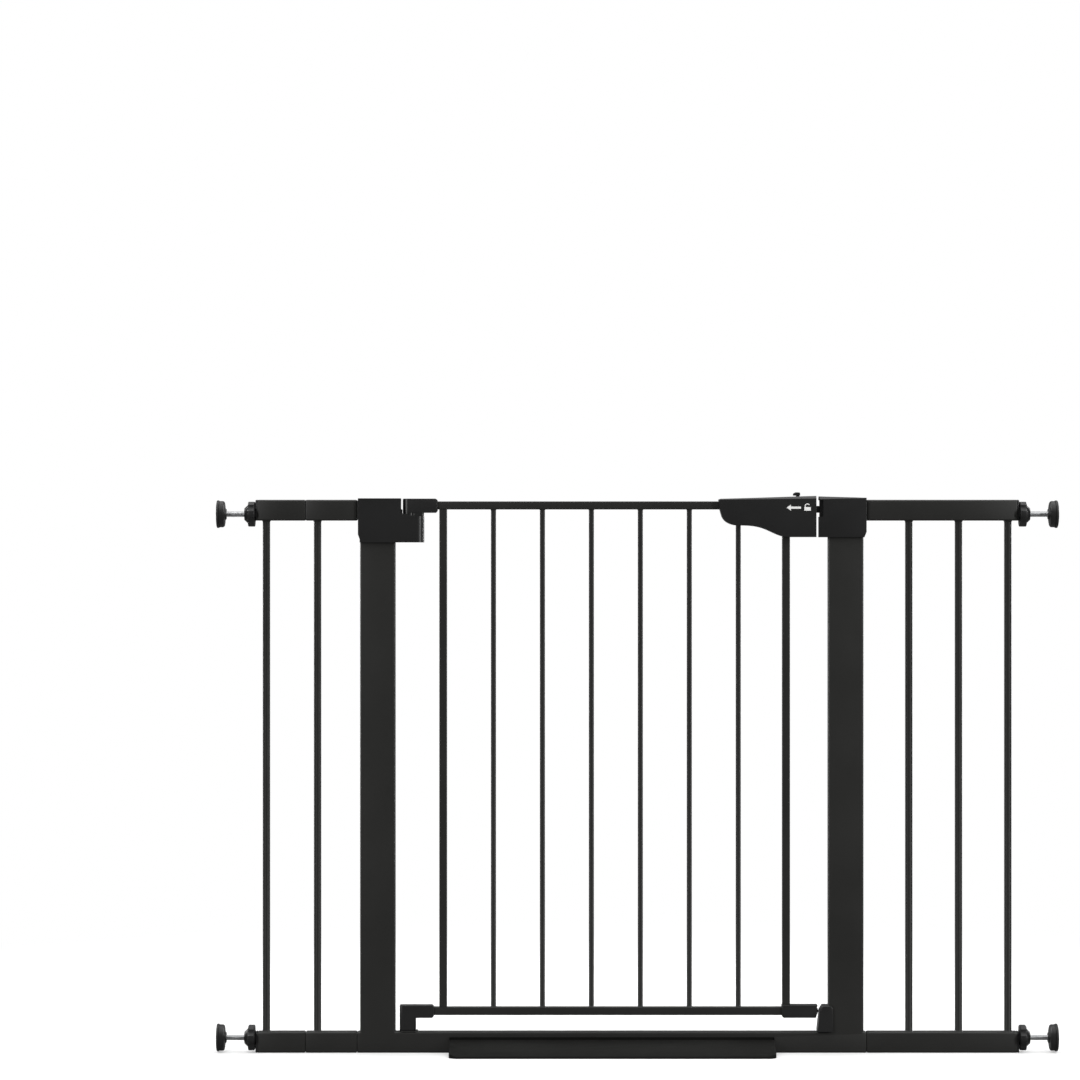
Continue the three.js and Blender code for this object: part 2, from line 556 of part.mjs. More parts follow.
// ---------------------------------------------------------------- handle and latch
/** The wing-shaped handle, seen from the front. */
function handleOutline() {
  const { endX } = HANDLE;
  const shape = new THREE.Shape();
  shape.moveTo(113.6, 770.4);
  shape.bezierCurveTo(113.8, 764, 114.6, 757, 118, 747);
  shape.bezierCurveTo(121, 739.5, 129, 734.6, 141, 734.2);
  shape.bezierCurveTo(156, 734.4, 168, 733.6, 180, 728.4);
  shape.bezierCurveTo(189, 724.6, 196, 720.4, 204, 718.8);
  shape.lineTo(213, 718);
  shape.lineTo(endX, 718);
  shape.lineTo(endX, 775.4);
  shape.bezierCurveTo(215, 774.6, 160, 772.4, 116, 771.4);
  shape.closePath();
  return shape;
}

/** The handle as one block with its hollows, before it is split into shells. */
function handleBlock() {
  const { endX, halfDepth, bevel } = HANDLE;
  const railEnd = UPRIGHT.latchX + UPRIGHT.width / 2 + GAP;
  const depth = RAIL.size / 2 + GAP;
  const upright = box(UPRIGHT.latchX - UPRIGHT.width / 2 - GAP, railEnd, -depth, depth, 0, RAIL.topZ);
  const lastBarX = DOOR_BAR.firstX + (DOOR_BAR.count - 1) * DOOR_BAR.pitch;
  const bar = cylinder(DOOR_BAR.diameter / 2 + GAP, lastBarX, 0, RAIL.topZ, 16);
  const play = LATCH_ROOM_PLAY;
  const latchRoom = box(railEnd - play, endX + play, -BOLT.halfDepth - play, BOLT.halfDepth + play,
    BOLT_HEAD.bottomZ - play, BOLT_HEAD.topZ + play);
  const slotHalfDepth = BUTTON_STEM.halfDepth + BUTTON_STEM.play;
  const slot = box(BUTTON.stemX - LATCH_TRAVEL - BUTTON_STEM.play, BUTTON.toX + play, -slotHalfDepth, slotHalfDepth,
    BOLT.topZ, FAR);
  return cut(slab(handleOutline(), halfDepth, bevel, 5),
    railSpace(0, railEnd, RAIL.topZ), upright, bar, latchRoom, slot);
}

/** The spring-loaded bolt: a bar with a blind spring bore and a tall head. */
function latchBolt() {
  const { tailX, neckX, headX, bottomZ, topZ, halfDepth } = BOLT;
  const bar = box(tailX, headX, -halfDepth, halfDepth, bottomZ, topZ);
  const head = box(neckX, headX, -BOLT_HEAD.halfDepth, BOLT_HEAD.halfDepth, BOLT_HEAD.bottomZ, BOLT_HEAD.topZ);
  const bore = drill(LATCH_SPRING.bore, tailX - GAP, LATCH_SPRING.toX + GAP, 20);
  return cut(join(bar, head), bore.translate([0, 0, (bottomZ + topZ) / 2]));
}

/** The thumb slide on top of the handle, fixed to the bolt through the slot. */
function slideButton() {
  const { fromX, toX, stemX, padZ, topZ, halfDepth, bevel } = BUTTON;
  const pad = slab(polygon([[fromX, padZ], [toX, padZ], [toX, topZ - bevel], [toX - 2 * bevel, topZ],
    [fromX + 4 * bevel, topZ], [fromX, topZ - 2.5 * bevel]]), halfDepth, bevel, 1);
  const stem = box(stemX, toX - BUTTON_STEM.inset, -BUTTON_STEM.halfDepth, BUTTON_STEM.halfDepth,
    BOLT.topZ + GAP, padZ + bevel);
  return join(pad, stem);
}

function addHandle(group) {
  const block = handleBlock();
  add(group, "handle_front_shell", half(block, -1), PLASTIC);
  add(group, "handle_rear_shell", half(block, 1), PLASTIC);
  add(group, "latch_bolt", latchBolt(), PLASTIC);
  add(group, "slide_button", slideButton(), PLASTIC);
  const { fromX, toX, coil: radius, wire, turns } = LATCH_SPRING;
  const spring = add(group, "latch_spring", coil(radius, wire, turns, toX - fromX, 6), SPRING_STEEL);
  spring.rotation.y = Math.PI / 2;
  spring.position.set(fromX, 0, (BOLT.bottomZ + BOLT.topZ) / 2);
}

// ---------------------------------------------------------------- strike
/** The strike housing on the right post, with the keeper for the bolt's head. */
function strikeBlock() {
  const { leftX, rightX, topLeftZ, topRightZ, bottomZ } = STRIKE;
  const [across, up] = STRIKE.cut;
  const outline = polygon([[leftX, bottomZ], [rightX - across, bottomZ], [rightX, bottomZ + up],
    [rightX, topRightZ], [leftX, topLeftZ]]);
  const notch = box(leftX - GAP, KEEPER.toX, -FAR, FAR, KEEPER.bottomZ, KEEPER.topZ);
  const liftRoom = box(leftX - GAP, KEEPER.toX, -KEEPER.innerY, KEEPER.innerY, KEEPER.bottomZ, KEEPER.liftZ);
  const cheek = (y0, y1) =>
    box(KEEPER.cheekX, KEEPER.toX + GAP, y0, y1, KEEPER.bottomZ - GAP, KEEPER.topZ + GAP);
  const notched = cut(
    slab(outline, HOUSING.halfDepth, HOUSING.bevel, 1), postSpace(POST.rightX, 1), notch, liftRoom,
  );
  return join(notched, cheek(-KEEPER.outerY, -KEEPER.innerY), cheek(KEEPER.innerY, KEEPER.outerY));
}

function addStrike(group) {
  const block = strikeBlock();
  add(group, "strike_housing_front", half(block, -1), PLASTIC);
  add(group, "strike_housing_rear", half(block, 1), PLASTIC);
}

// ---------------------------------------------------------------- threshold ramp
/** One side of the low ramp over the threshold, open underneath between its ribs. */
function ramp(side) {
  const { fromX, toX, flangeZ, crestZ, reach, lip, lipSlope, flange, crest, skin, corner, ribs } = RAMP;
  const face = TUBE.depth / 2 + GAP;
  const front = TUBE.depth / 2 + reach;
  const section = (points) => (side < 0 ? points.map(([y, z]) => [-y, z]).reverse() : points);
  const skinPoints = [[face, 0], [front, 0], [front, lip], [front - lipSlope[0], lip + lipSlope[1]],
    [face + crest, crestZ], [face + flange, crestZ], [face + flange, flangeZ], [face, flangeZ]];
  const hollowPoints = [[face + skin, -GAP], [front - skin, -GAP], [front - skin, lip - skin / 2],
    [face + crest, crestZ - skin], [face + skin, crestZ - skin]];
  const plan = new THREE.Shape();
  plan.moveTo(toX, 0);
  plan.lineTo(fromX, 0);
  plan.absarc(fromX + corner, -front + corner, corner, Math.PI, 1.5 * Math.PI);
  plan.absarc(toX - corner, -front + corner, corner, 1.5 * Math.PI, 2 * Math.PI);
  plan.closePath();
  const outlineSolid = solid(
    new THREE.ExtrudeGeometry(plan, { depth: FAR, bevelEnabled: false, curveSegments: 5 })
      .rotateZ(side < 0 ? 0 : Math.PI)
      .translate(side < 0 ? 0 : fromX + toX, 0, -GAP),
  );
  const body = prism(polygon(section(skinPoints)), ALONG_X, fromX, toX).intersect(outlineSolid);
  const pitch = (toX - fromX - 2 * corner) / ribs;
  const pockets = Array.from({ length: ribs }, (_, i) => {
    const start = fromX + corner + i * pitch + skin / 2;
    return prism(polygon(section(hollowPoints)), ALONG_X, start, start + pitch - skin);
  });
  return cut(body, ...pockets);
}

function addRamp(group) {
  add(group, "threshold_ramp_front", ramp(-1), RAMP_PLASTIC);
  add(group, "threshold_ramp_rear", ramp(1), RAMP_PLASTIC);
}

addFrame(gate);
addExtensions(gate);
addSpindles(gate);
addUpperHinge(gate);
addLowerParts(gate);
addDoorPanel(gate);
addHandle(gate);
addStrike(gate);
addRamp(gate);

export default gate;
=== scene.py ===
"""Looks for a black pressure-mounted safety gate: welded steel, moulded plastic, zinc rods and soft pads.

Everything is in metres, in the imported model's own frame: +X across the doorway, +Y to the rear, +Z up.
"""

from __future__ import annotations

import logging
import math
from collections.abc import Callable, Sequence
from dataclasses import dataclass
from enum import Enum

import bmesh
import bpy
from mathutils import Matrix, Vector


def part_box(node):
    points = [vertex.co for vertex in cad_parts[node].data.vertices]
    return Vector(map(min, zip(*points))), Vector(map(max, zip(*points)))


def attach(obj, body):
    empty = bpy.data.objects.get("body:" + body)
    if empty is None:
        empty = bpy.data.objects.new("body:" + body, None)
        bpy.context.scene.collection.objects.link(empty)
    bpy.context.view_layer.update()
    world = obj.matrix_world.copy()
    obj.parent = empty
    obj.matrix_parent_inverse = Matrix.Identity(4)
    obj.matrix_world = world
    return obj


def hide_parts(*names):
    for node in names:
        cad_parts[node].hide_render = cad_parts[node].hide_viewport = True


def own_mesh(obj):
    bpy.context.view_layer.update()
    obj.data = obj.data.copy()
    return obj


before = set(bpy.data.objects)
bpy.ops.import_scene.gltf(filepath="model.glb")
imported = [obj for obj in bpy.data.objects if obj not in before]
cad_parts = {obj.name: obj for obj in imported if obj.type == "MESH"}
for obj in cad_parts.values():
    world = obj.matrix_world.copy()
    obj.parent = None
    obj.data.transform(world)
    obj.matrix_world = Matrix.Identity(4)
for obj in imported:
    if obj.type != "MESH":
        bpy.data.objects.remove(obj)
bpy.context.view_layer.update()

LOG = logging.getLogger("gate")
Point = tuple[float, float]
Span = tuple[float, float]  # where something starts and ends
Place = tuple[float, float, float]
Piece = bpy.types.Object


# ---------------------------------------------------------------- modelling bench
class Axis(Enum):
    """The direction that an outline is extruded along or a profile is turned about."""

    X = 0
    Y = 1
    Z = 2

    @property
    def vector(self) -> Vector:
        """The unit vector of the axis."""
        return Vector([1.0 if i == self.value else 0.0 for i in range(3)])

    @property
    def others(self) -> tuple[int, int]:
        """The indices of the two other directions, in X, Y, Z order."""
        first, second = [i for i in range(3) if i != self.value]
        return first, second

    def place(self, flat: Point, along: float) -> Vector:
        """A point from its two flat coordinates and its station along the axis."""
        spot = Vector((0.0, 0.0, 0.0))
        spot[self.others[0]], spot[self.others[1]] = flat
        spot[self.value] = along
        return spot


EdgeTest = Callable[[bmesh.types.BMEdge], bool]


def runs_along(axis: Axis) -> EdgeTest:
    """A test for edges parallel to an axis."""

    def test(edge: bmesh.types.BMEdge) -> bool:
        """True when the edge lies along the axis."""
        run = (edge.verts[1].co - edge.verts[0].co).normalized()
        return abs(run.dot(axis.vector)) > 0.99

    return test


def near(axis: Axis, station: float, tolerance: float = 1e-4) -> EdgeTest:
    """A test for edges that lie wholly at one station of an axis."""

    def test(edge: bmesh.types.BMEdge) -> bool:
        """True when both ends are at the station."""
        return all(abs(v.co[axis.value] - station) < tolerance for v in edge.verts)

    return test


def above(height: float) -> EdgeTest:
    """A test for edges whose middle is above a height."""
    return lambda edge: (edge.verts[0].co.z + edge.verts[1].co.z) / 2 > height


def all_of(*tests: EdgeTest) -> EdgeTest:
    """A test for edges that pass all of the tests; with none given, every edge does."""
    return lambda edge: all(test(edge) for test in tests)


def any_of(*tests: EdgeTest) -> EdgeTest:
    """A test for edges that pass at least one of the tests."""
    return lambda edge: any(test(edge) for test in tests)


def but_not(test: EdgeTest) -> EdgeTest:
    """A test for edges that don't pass another."""
    return lambda edge: not test(edge)


class Bench:
    """Modelling as by hand: primitives, edit-mode tools and modifiers that are applied."""

    SHARP = math.radians(24)  # edges that turn by more than this are rounded
    PAST = 0.01  # how far a cutter runs on past what it cuts
    DOUBLES = 1e-6  # corners closer than this are one

    @staticmethod
    def clear() -> None:
        """Leaves edit mode and deselects everything."""
        if bpy.context.object and bpy.context.object.mode != "OBJECT":
            bpy.ops.object.mode_set(mode="OBJECT")
        bpy.ops.object.select_all(action="DESELECT")

    @staticmethod
    def pick(piece: Piece) -> None:
        """Makes one piece the only selected and active one."""
        Bench.clear()
        piece.select_set(True)
        bpy.context.view_layer.objects.active = piece

    @staticmethod
    def settle(name: str) -> Piece:
        """Names the active primitive and puts its place, turn and size into its mesh."""
        piece = bpy.context.object
        piece.name = name
        piece.data.name = name
        bpy.ops.object.transform_apply(location=True, rotation=True, scale=True)
        return piece

    @staticmethod
    def block(name: str, low: Sequence[float], high: Sequence[float]) -> Piece:
        """A rectangular block between two corners.

        Args:
            name: The piece's name.
            low: Its lowest corner.
            high: Its highest corner.

        Returns:
            The new piece.
        """
        Bench.clear()
        low, high = Vector(low), Vector(high)
        bpy.ops.mesh.primitive_cube_add(size=1, location=(low + high) / 2, scale=high - low)
        return Bench.settle(name)

    @staticmethod
    def chain(name: str, spots: Sequence[Vector]) -> Piece:
        """A line drawn corner by corner, left open in edit mode."""
        Bench.clear()
        bpy.ops.mesh.primitive_plane_add(size=0.001, location=spots[0])
        piece = Bench.settle(name)
        bpy.ops.object.mode_set(mode="EDIT")
        bpy.ops.mesh.select_mode(type="VERT")
        bpy.ops.mesh.select_all(action="SELECT")
        bpy.ops.mesh.merge(type="CENTER")
        for here, there in zip(spots, spots[1:]):
            bpy.ops.mesh.extrude_vertices_move(TRANSFORM_OT_translate={"value": there - here})
        return piece

    @staticmethod
    def wind(piece: Piece, axis: Axis, pitch: float, turns: int, steps: int) -> None:
        """Applies a screw that winds the piece along an axis through the origin."""
        screw = piece.modifiers.new("screw", "SCREW")
        screw.axis = axis.name
        screw.screw_offset = pitch
        screw.iterations = turns
        screw.steps = steps
        screw.render_steps = steps
        screw.use_merge_vertices = True
        screw.merge_threshold = Bench.DOUBLES
        Bench.pick(piece)
        bpy.ops.object.modifier_apply(modifier=screw.name)

    @staticmethod
    def drawn(name: str, axis: Axis, outline: Sequence[Point], start: float, end: float) -> Piece:
        """An outline drawn corner by corner, filled, and extruded along an axis.

        Args:
            name: The piece's name.
            axis: The direction of the extrusion.
            outline: Corners in the plane across the axis.
            start: Where the extrusion starts.
            end: Where it ends.

        Returns:
            The new piece.
        """
        piece = Bench.chain(name, [axis.place(corner, start) for corner in outline])
        bpy.ops.mesh.select_all(action="SELECT")
        bpy.ops.mesh.edge_face_add()
        bpy.ops.mesh.extrude_region_move(
            TRANSFORM_OT_translate={"value": axis.vector * (end - start)}
        )
        bpy.ops.mesh.select_all(action="SELECT")
        bpy.ops.mesh.normals_make_consistent(inside=False)
        bpy.ops.object.mode_set(mode="OBJECT")
        return piece

    @staticmethod
    def turned(
        name: str, axis: Axis, centre: Point, stations: Sequence[Point], sides: int = 48
    ) -> Piece:
        """A solid of revolution, drawn out of a disc station by station.

        Args:
            name: The piece's name.
            axis: The axis of revolution.
            centre: Where the axis lies in the plane across it.
            stations: Radius and place along the axis, in order.
            sides: How many sides the round has.

        Returns:
            The new piece.
        """
        Bench.clear()
        turns = {
            Axis.X: (0.0, math.pi / 2, 0.0),
            Axis.Y: (math.pi / 2, 0.0, 0.0),
            Axis.Z: (0.0, 0.0, 0.0),
        }
        radius, along = stations[0]
        bpy.ops.mesh.primitive_circle_add(
            vertices=sides,
            radius=radius,
            fill_type="NGON",
            location=axis.place(centre, along),
            rotation=turns[axis],
        )
        piece = Bench.settle(name)
        bpy.ops.object.mode_set(mode="EDIT")
        bpy.ops.mesh.select_mode(type="FACE")
        bpy.ops.mesh.select_all(action="SELECT")
        for next_radius, place in stations[1:]:
            bpy.ops.mesh.extrude_region_move(
                TRANSFORM_OT_translate={"value": axis.vector * (place - along)}
            )
            ratio = next_radius / radius
            if abs(ratio - 1) > 1e-6:
                value = [1.0 if i == axis.value else ratio for i in range(3)]
                bpy.ops.transform.resize(value=value, center_override=axis.place(centre, place))
            radius, along = next_radius, place
        bpy.ops.mesh.select_all(action="SELECT")
        bpy.ops.mesh.normals_make_consistent(inside=False)
        bpy.ops.object.mode_set(mode="OBJECT")
        return piece

    @staticmethod
    def rod(name: str, axis: Axis, centre: Point, radius: float, start: float, end: float) -> Piece:
        """A straight round rod, most often a cutter for a bore."""
        return Bench.turned(name, axis, centre, [(radius, start), (radius, end)])

    @staticmethod
    def bevel(
        piece: Piece,
        width: float,
        segments: int = 3,
        where: EdgeTest = all_of(),
        inner: bool = False,
    ) -> None:
        """Rounds the sharp edges that pass a test.

        Args:
            piece: The piece to work on.
            width: The size of the round.
            segments: How many steps it has.
            where: Which edges are taken.
            inner: True for the hollow corners, as a weld fillet.
        """
        Bench.pick(piece)
        bpy.ops.object.mode_set(mode="EDIT")
        bpy.ops.mesh.select_mode(type="EDGE")
        bpy.ops.mesh.select_all(action="DESELECT")
        mesh = bmesh.from_edit_mesh(piece.data)
        chosen = 0
        for edge in mesh.edges:
            if len(edge.link_faces) != 2 or edge.is_convex == inner:
                continue
            if edge.calc_face_angle(0.0) > Bench.SHARP and where(edge):
                edge.select_set(True)
                chosen += 1
        bmesh.update_edit_mesh(piece.data)
        if chosen:
            bpy.ops.mesh.bevel(
                offset=width, segments=segments, profile=0.5, affect="EDGES", clamp_overlap=True
            )
        else:
            LOG.warning("no edge to round on %s", piece.name)
        bpy.ops.object.mode_set(mode="OBJECT")

    @staticmethod
    def pare(piece: Piece, point: Sequence[float], normal: Sequence[float]) -> None:
        """Cuts away what lies beyond a plane and closes the cut."""
        Bench.pick(piece)
        bpy.ops.object.mode_set(mode="EDIT")
        bpy.ops.mesh.select_all(action="SELECT")
        bpy.ops.mesh.bisect(
            plane_co=point, plane_no=normal, use_fill=True, clear_outer=True, clear_inner=False
        )
        bpy.ops.object.mode_set(mode="OBJECT")

    @staticmethod
    def boolean(piece: Piece, tool: Piece, operation: str) -> None:
        """Applies a boolean with a tool, which is used up."""
        Bench.pick(piece)
        modifier = piece.modifiers.new("boolean", "BOOLEAN")
        modifier.operation = operation
        modifier.solver = "EXACT"
        modifier.object = tool
        bpy.ops.object.modifier_apply(modifier=modifier.name)
        bpy.data.objects.remove(tool, do_unlink=True)

    @staticmethod
    def cut(piece: Piece, *tools: Piece) -> None:
        """Takes the tools out of a piece."""
        for tool in tools:
            Bench.boolean(piece, tool, "DIFFERENCE")

    @staticmethod
    def weld(piece: Piece, *tools: Piece) -> None:
        """Joins the tools to a piece as one skin."""
        for tool in tools:
            Bench.boolean(piece, tool, "UNION")

    @staticmethod
    def keep(piece: Piece, tool: Piece) -> None:
        """Keeps only what lies inside the tool."""
        Bench.boolean(piece, tool, "INTERSECT")

    @staticmethod
    def flatten(piece: Piece) -> None:
        """Clears the construction lines that a boolean leaves on flat faces."""
        Bench.pick(piece)
        bpy.ops.object.mode_set(mode="EDIT")
        bpy.ops.mesh.select_all(action="SELECT")
        bpy.ops.mesh.remove_doubles(threshold=Bench.DOUBLES)
        bpy.ops.mesh.dissolve_limited(angle_limit=math.radians(0.5))
        bpy.ops.object.mode_set(mode="OBJECT")

    @staticmethod
    def copy(piece: Piece, name: str, place: Matrix) -> Piece:
        """A copy with its own mesh, moved there, its faces outwards.

        Args:
            piece: What is copied.
            name: The copy's name.
            place: The move, turn or mirroring.

        Returns:
            The copy.
        """
        twin = piece.copy()
        twin.data = piece.data.copy()
        twin.name = name
        twin.data.name = name
        bpy.context.collection.objects.link(twin)
        twin.data.transform(place)
        if place.determinant() < 0:
            twin.data.flip_normals()
        return twin

    @staticmethod
    def gather(name: str, parts: Sequence[Piece]) -> Piece:
        """Joins separate bodies into one object, without merging their skins."""
        Bench.clear()
        for part in parts:
            part.select_set(True)
        bpy.context.view_layer.objects.active = parts[0]
        bpy.ops.object.join()
        parts[0].name = name
        parts[0].data.name = name
        return parts[0]


# ---------------------------------------------------------------- shader maths
class Wire:
    """A shader socket that Python arithmetic can be written on."""

    def __init__(self, shader: Shader, socket: bpy.types.NodeSocket) -> None:
        """Wraps a socket of a shader."""
        self.shader = shader
        self.socket = socket

    def _math(self, operation: str, *terms: Term) -> Wire:
        """Adds a Math node over the terms."""
        inputs = dict(enumerate(terms))
        return self.shader.node("ShaderNodeMath", {"operation": operation}, inputs)

    def __add__(self, other: Term) -> Wire:
        """self + other."""
        return self._math("ADD", self, other)

    def __radd__(self, other: Term) -> Wire:
        """other + self."""
        return self._math("ADD", other, self)

    def __mul__(self, other: Term) -> Wire:
        """self * other."""
        return self._math("MULTIPLY", self, other)


Term = Wire | float


class Shader:
    """A material under construction: one Principled surface and what feeds it."""

    def __init__(self, name: str) -> None:
        """Starts an empty material with its surface and output."""
        self.material = bpy.data.materials.new(name)
        self.material.use_nodes = True
        self.tree = self.material.node_tree
        self.tree.nodes.clear()
        self.output = self.tree.nodes.new("ShaderNodeOutputMaterial")
        self.surface = self.tree.nodes.new("ShaderNodeBsdfPrincipled")
        self.surface_wire = Wire(self, self.surface.outputs[0])
        self.finish_with(self.surface_wire)

    def finish_with(self, wire: Wire) -> None:
        """Makes a wire the material's surface."""
        self.tree.links.new(wire.socket, self.output.inputs["Surface"])

    def node(
        self,
        kind: str,
        settings: dict[str, object] | None = None,
        inputs: dict[str | int, object] | None = None,
        output: str | int = 0,
    ) -> Wire:
        """Adds any node.

        Args:
            kind: The node's type.
            settings: Its properties, set before the sockets; "stops" fills a colour ramp.
            inputs: Values or wires for its sockets, by name or index.
            output: Which output is wanted.

        Returns:
            A wire from that output.
        """
        made = self.tree.nodes.new(kind)
        for key, value in (settings or {}).items():
            if key == "stops":
                self._fill_ramp(made.color_ramp, value)
            else:
                setattr(made, key, value)
        for key, value in (inputs or {}).items():
            self.feed(made.inputs[key], value)
        return Wire(self, made.outputs[output])

    @staticmethod
    def _fill_ramp(ramp: bpy.types.ColorRamp, stops: Sequence[tuple[float, float]]) -> None:
        """Sets a ramp's stops, each a place and a grey level."""
        while len(ramp.elements) < len(stops):
            ramp.elements.new(0.5)
        for element, (place, level) in zip(ramp.elements, stops):
            element.position = place
            element.color = (level, level, level, 1.0)

    def feed(self, socket: bpy.types.NodeSocket, value: object) -> None:
        """Links a wire to a socket, or sets its value."""
        if isinstance(value, Wire):
            self.tree.links.new(value.socket, socket)
        else:
            socket.default_value = value

    def set(self, **sockets: object) -> None:
        """Sets the surface's sockets; underscores stand for spaces."""
        for key, value in sockets.items():
            self.feed(self.surface.inputs[key.replace("_", " ")], value)

    def place(self, stretch: Sequence[float] = (1, 1, 1)) -> Wire:
        """The piece's own coordinates, stretched."""
        spot = self.node("ShaderNodeTexCoord", output="Object")
        return self.node("ShaderNodeMapping", inputs={"Vector": spot, "Scale": stretch})

    def noise(self, spot: Wire, scale: float, detail: float = 2, rough: float = 0.5) -> Wire:
        """A fractal noise, from 0 to 1."""
        return self.node(
            "ShaderNodeTexNoise",
            inputs={"Vector": spot, "Scale": scale, "Detail": detail, "Roughness": rough},
        )

    def ramp(self, value: Wire, *stops: tuple[float, float]) -> Wire:
        """A value through a ramp of grey stops."""
        return self.node("ShaderNodeValToRGB", {"stops": stops}, {"Fac": value})

    def blend(self, share: Term, low: Sequence[float], high: Sequence[float]) -> Wire:
        """A colour between two, by a share."""
        return self.node(
            "ShaderNodeMix",
            {"data_type": "RGBA"},
            {0: share, 6: (*low, 1.0), 7: (*high, 1.0)},
            output=2,
        )

    def bump(self, height: Wire, depth: float, strength: float = 1.0) -> Wire:
        """A normal from a height of 0 to 1 and its depth in metres."""
        return self.node(
            "ShaderNodeBump", inputs={"Height": height, "Distance": depth, "Strength": strength}
        )


Colour = tuple[float, float, float]


@dataclass(frozen=True)
class PowderCoat:
    """Satin black powder coat: a soft orange peel with fine specks, slightly warm."""

    low: Colour = (0.0118, 0.0118, 0.0108)
    high: Colour = (0.0158, 0.0157, 0.0146)
    peel_scale: float = 620.0
    speck_scale: float = 3600.0
    peel_depth: float = 2.4e-5

    def build(self, name: str) -> bpy.types.Material:
        """The finished material."""
        shader = Shader(name)
        spot = shader.place()
        cloud = shader.noise(spot, 9.0, 3)
        peel = shader.noise(spot, self.peel_scale, 2, 0.4)
        specks = shader.noise(spot, self.speck_scale, 1)
        tone = shader.ramp(cloud * 0.6 + specks * 0.4, (0.36, 0.0), (0.62, 1.0))
        height = peel * 0.8 + specks * 0.2
        shader.set(
            Base_Color=shader.blend(tone, self.low, self.high),
            Roughness=0.36 + peel * 0.08 + cloud * 0.08,
            Specular_IOR_Level=0.3,
            Normal=shader.bump(height, self.peel_depth),
        )
        return shader.material


@dataclass(frozen=True)
class Moulding:
    """Injection-moulded plastic with a fine spark-eroded grain."""

    low: Colour = (0.0068, 0.0068, 0.0068)
    high: Colour = (0.0098, 0.0098, 0.01)
    grain_scale: float = 1500.0
    grain_depth: float = 3.5e-5
    roughness: float = 0.27
    gloss: float = 0.4

    def build(self, name: str) -> bpy.types.Material:
        """The finished material."""
        shader = Shader(name)
        spot = shader.place()
        cloud = shader.noise(spot, 14.0, 3)
        grain = shader.noise(spot, self.grain_scale, 3, 0.62)
        pits = shader.node(
            "ShaderNodeTexVoronoi", inputs={"Vector": spot, "Scale": self.grain_scale * 0.8}
        )
        height = grain * 0.7 + pits * 0.3
        tone = shader.ramp(cloud * 0.5 + grain * 0.5, (0.38, 0.0), (0.64, 1.0))
        shader.set(
            Base_Color=shader.blend(tone, self.low, self.high),
            Roughness=self.roughness + grain * 0.1 + cloud * 0.06,
            Specular_IOR_Level=self.gloss,
            Normal=shader.bump(height, self.grain_depth),
        )
        return shader.material


@dataclass(frozen=True)
class ZincPlate:
    """Bright zinc on a turned or rolled steel rod: fine rings across it and a faint bloom."""

    low: Colour = (0.36, 0.365, 0.37)
    high: Colour = (0.6, 0.605, 0.61)
    ring_stretch: tuple[float, float, float] = (900.0, 40.0, 40.0)

    def build(self, name: str) -> bpy.types.Material:
        """The finished material."""
        shader = Shader(name)
        rings = shader.noise(shader.place(self.ring_stretch), 1.0, 2)
        bloom = shader.noise(shader.place(), 160.0, 4, 0.65)
        tone = shader.ramp(bloom * 0.6 + rings * 0.4, (0.34, 0.0), (0.68, 1.0))
        shader.set(
            Base_Color=shader.blend(tone, self.low, self.high),
            Metallic=1.0,
            Roughness=0.24 + bloom * 0.16,
            Normal=shader.bump(rings, 1.2e-5),
        )
        return shader.material


@dataclass(frozen=True)
class SoftRubber:
    """Smooth black rubber with a dusty bloom."""

    low: Colour = (0.009, 0.009, 0.009)
    high: Colour = (0.016, 0.016, 0.016)

    def build(self, name: str) -> bpy.types.Material:
        """The finished material."""
        shader = Shader(name)
        spot = shader.place()
        dust = shader.noise(spot, 320.0, 5, 0.7)
        grain = shader.noise(spot, 2400.0, 2)
        shader.set(
            Base_Color=shader.blend(shader.ramp(dust, (0.4, 0.0), (0.7, 1.0)), self.low, self.high),
            Roughness=0.42 + dust * 0.22,
            Specular_IOR_Level=0.3,
            Normal=shader.bump(grain, 2.0e-5),
        )
        return shader.material


@dataclass(frozen=True)
class PrintedWhite:
    """A pad-printed white mark with a faint fine speckle."""

    low: Colour = (0.72, 0.72, 0.7)
    high: Colour = (0.86, 0.86, 0.85)

    def build(self, name: str) -> bpy.types.Material:
        """The finished material."""
        shader = Shader(name)
        speck = shader.noise(shader.place(), 1900.0, 3, 0.6)
        shader.set(
            Base_Color=shader.blend(shader.ramp(speck, (0.3, 0.0), (0.6, 1.0)), self.low, self.high),
            Roughness=0.45 + speck * 0.1,
            Normal=shader.bump(speck, 1.0e-5),
        )
        return shader.material


class Finish(Enum):
    """The finishes on the gate, each with the record's slot that it belongs to."""

    STEEL = ("powder_coat", PowderCoat())
    PLASTIC = ("black_plastic", Moulding())
    GLOSS_PLASTIC = ("black_plastic", Moulding(roughness=0.36, gloss=0.3, grain_depth=1.5e-5))
    RAMP = (
        "ramp_plastic",
        Moulding((0.0076, 0.0077, 0.0071), (0.0108, 0.011, 0.0102), 900.0, 7e-5, 0.66, 0.08),
    )
    RUBBER = ("pad_rubber", SoftRubber())
    ZINC = ("zinc_steel", ZincPlate())
    SPRING = ("spring_steel", ZincPlate((0.2, 0.205, 0.21), (0.36, 0.37, 0.38)))
    PRINT = ("black_plastic", PrintedWhite())

    @property
    def material(self) -> bpy.types.Material:
        """The finish's material, built once."""
        made = bpy.data.materials.get(self.name.lower())
        return made or self.value[1].build(self.name.lower())


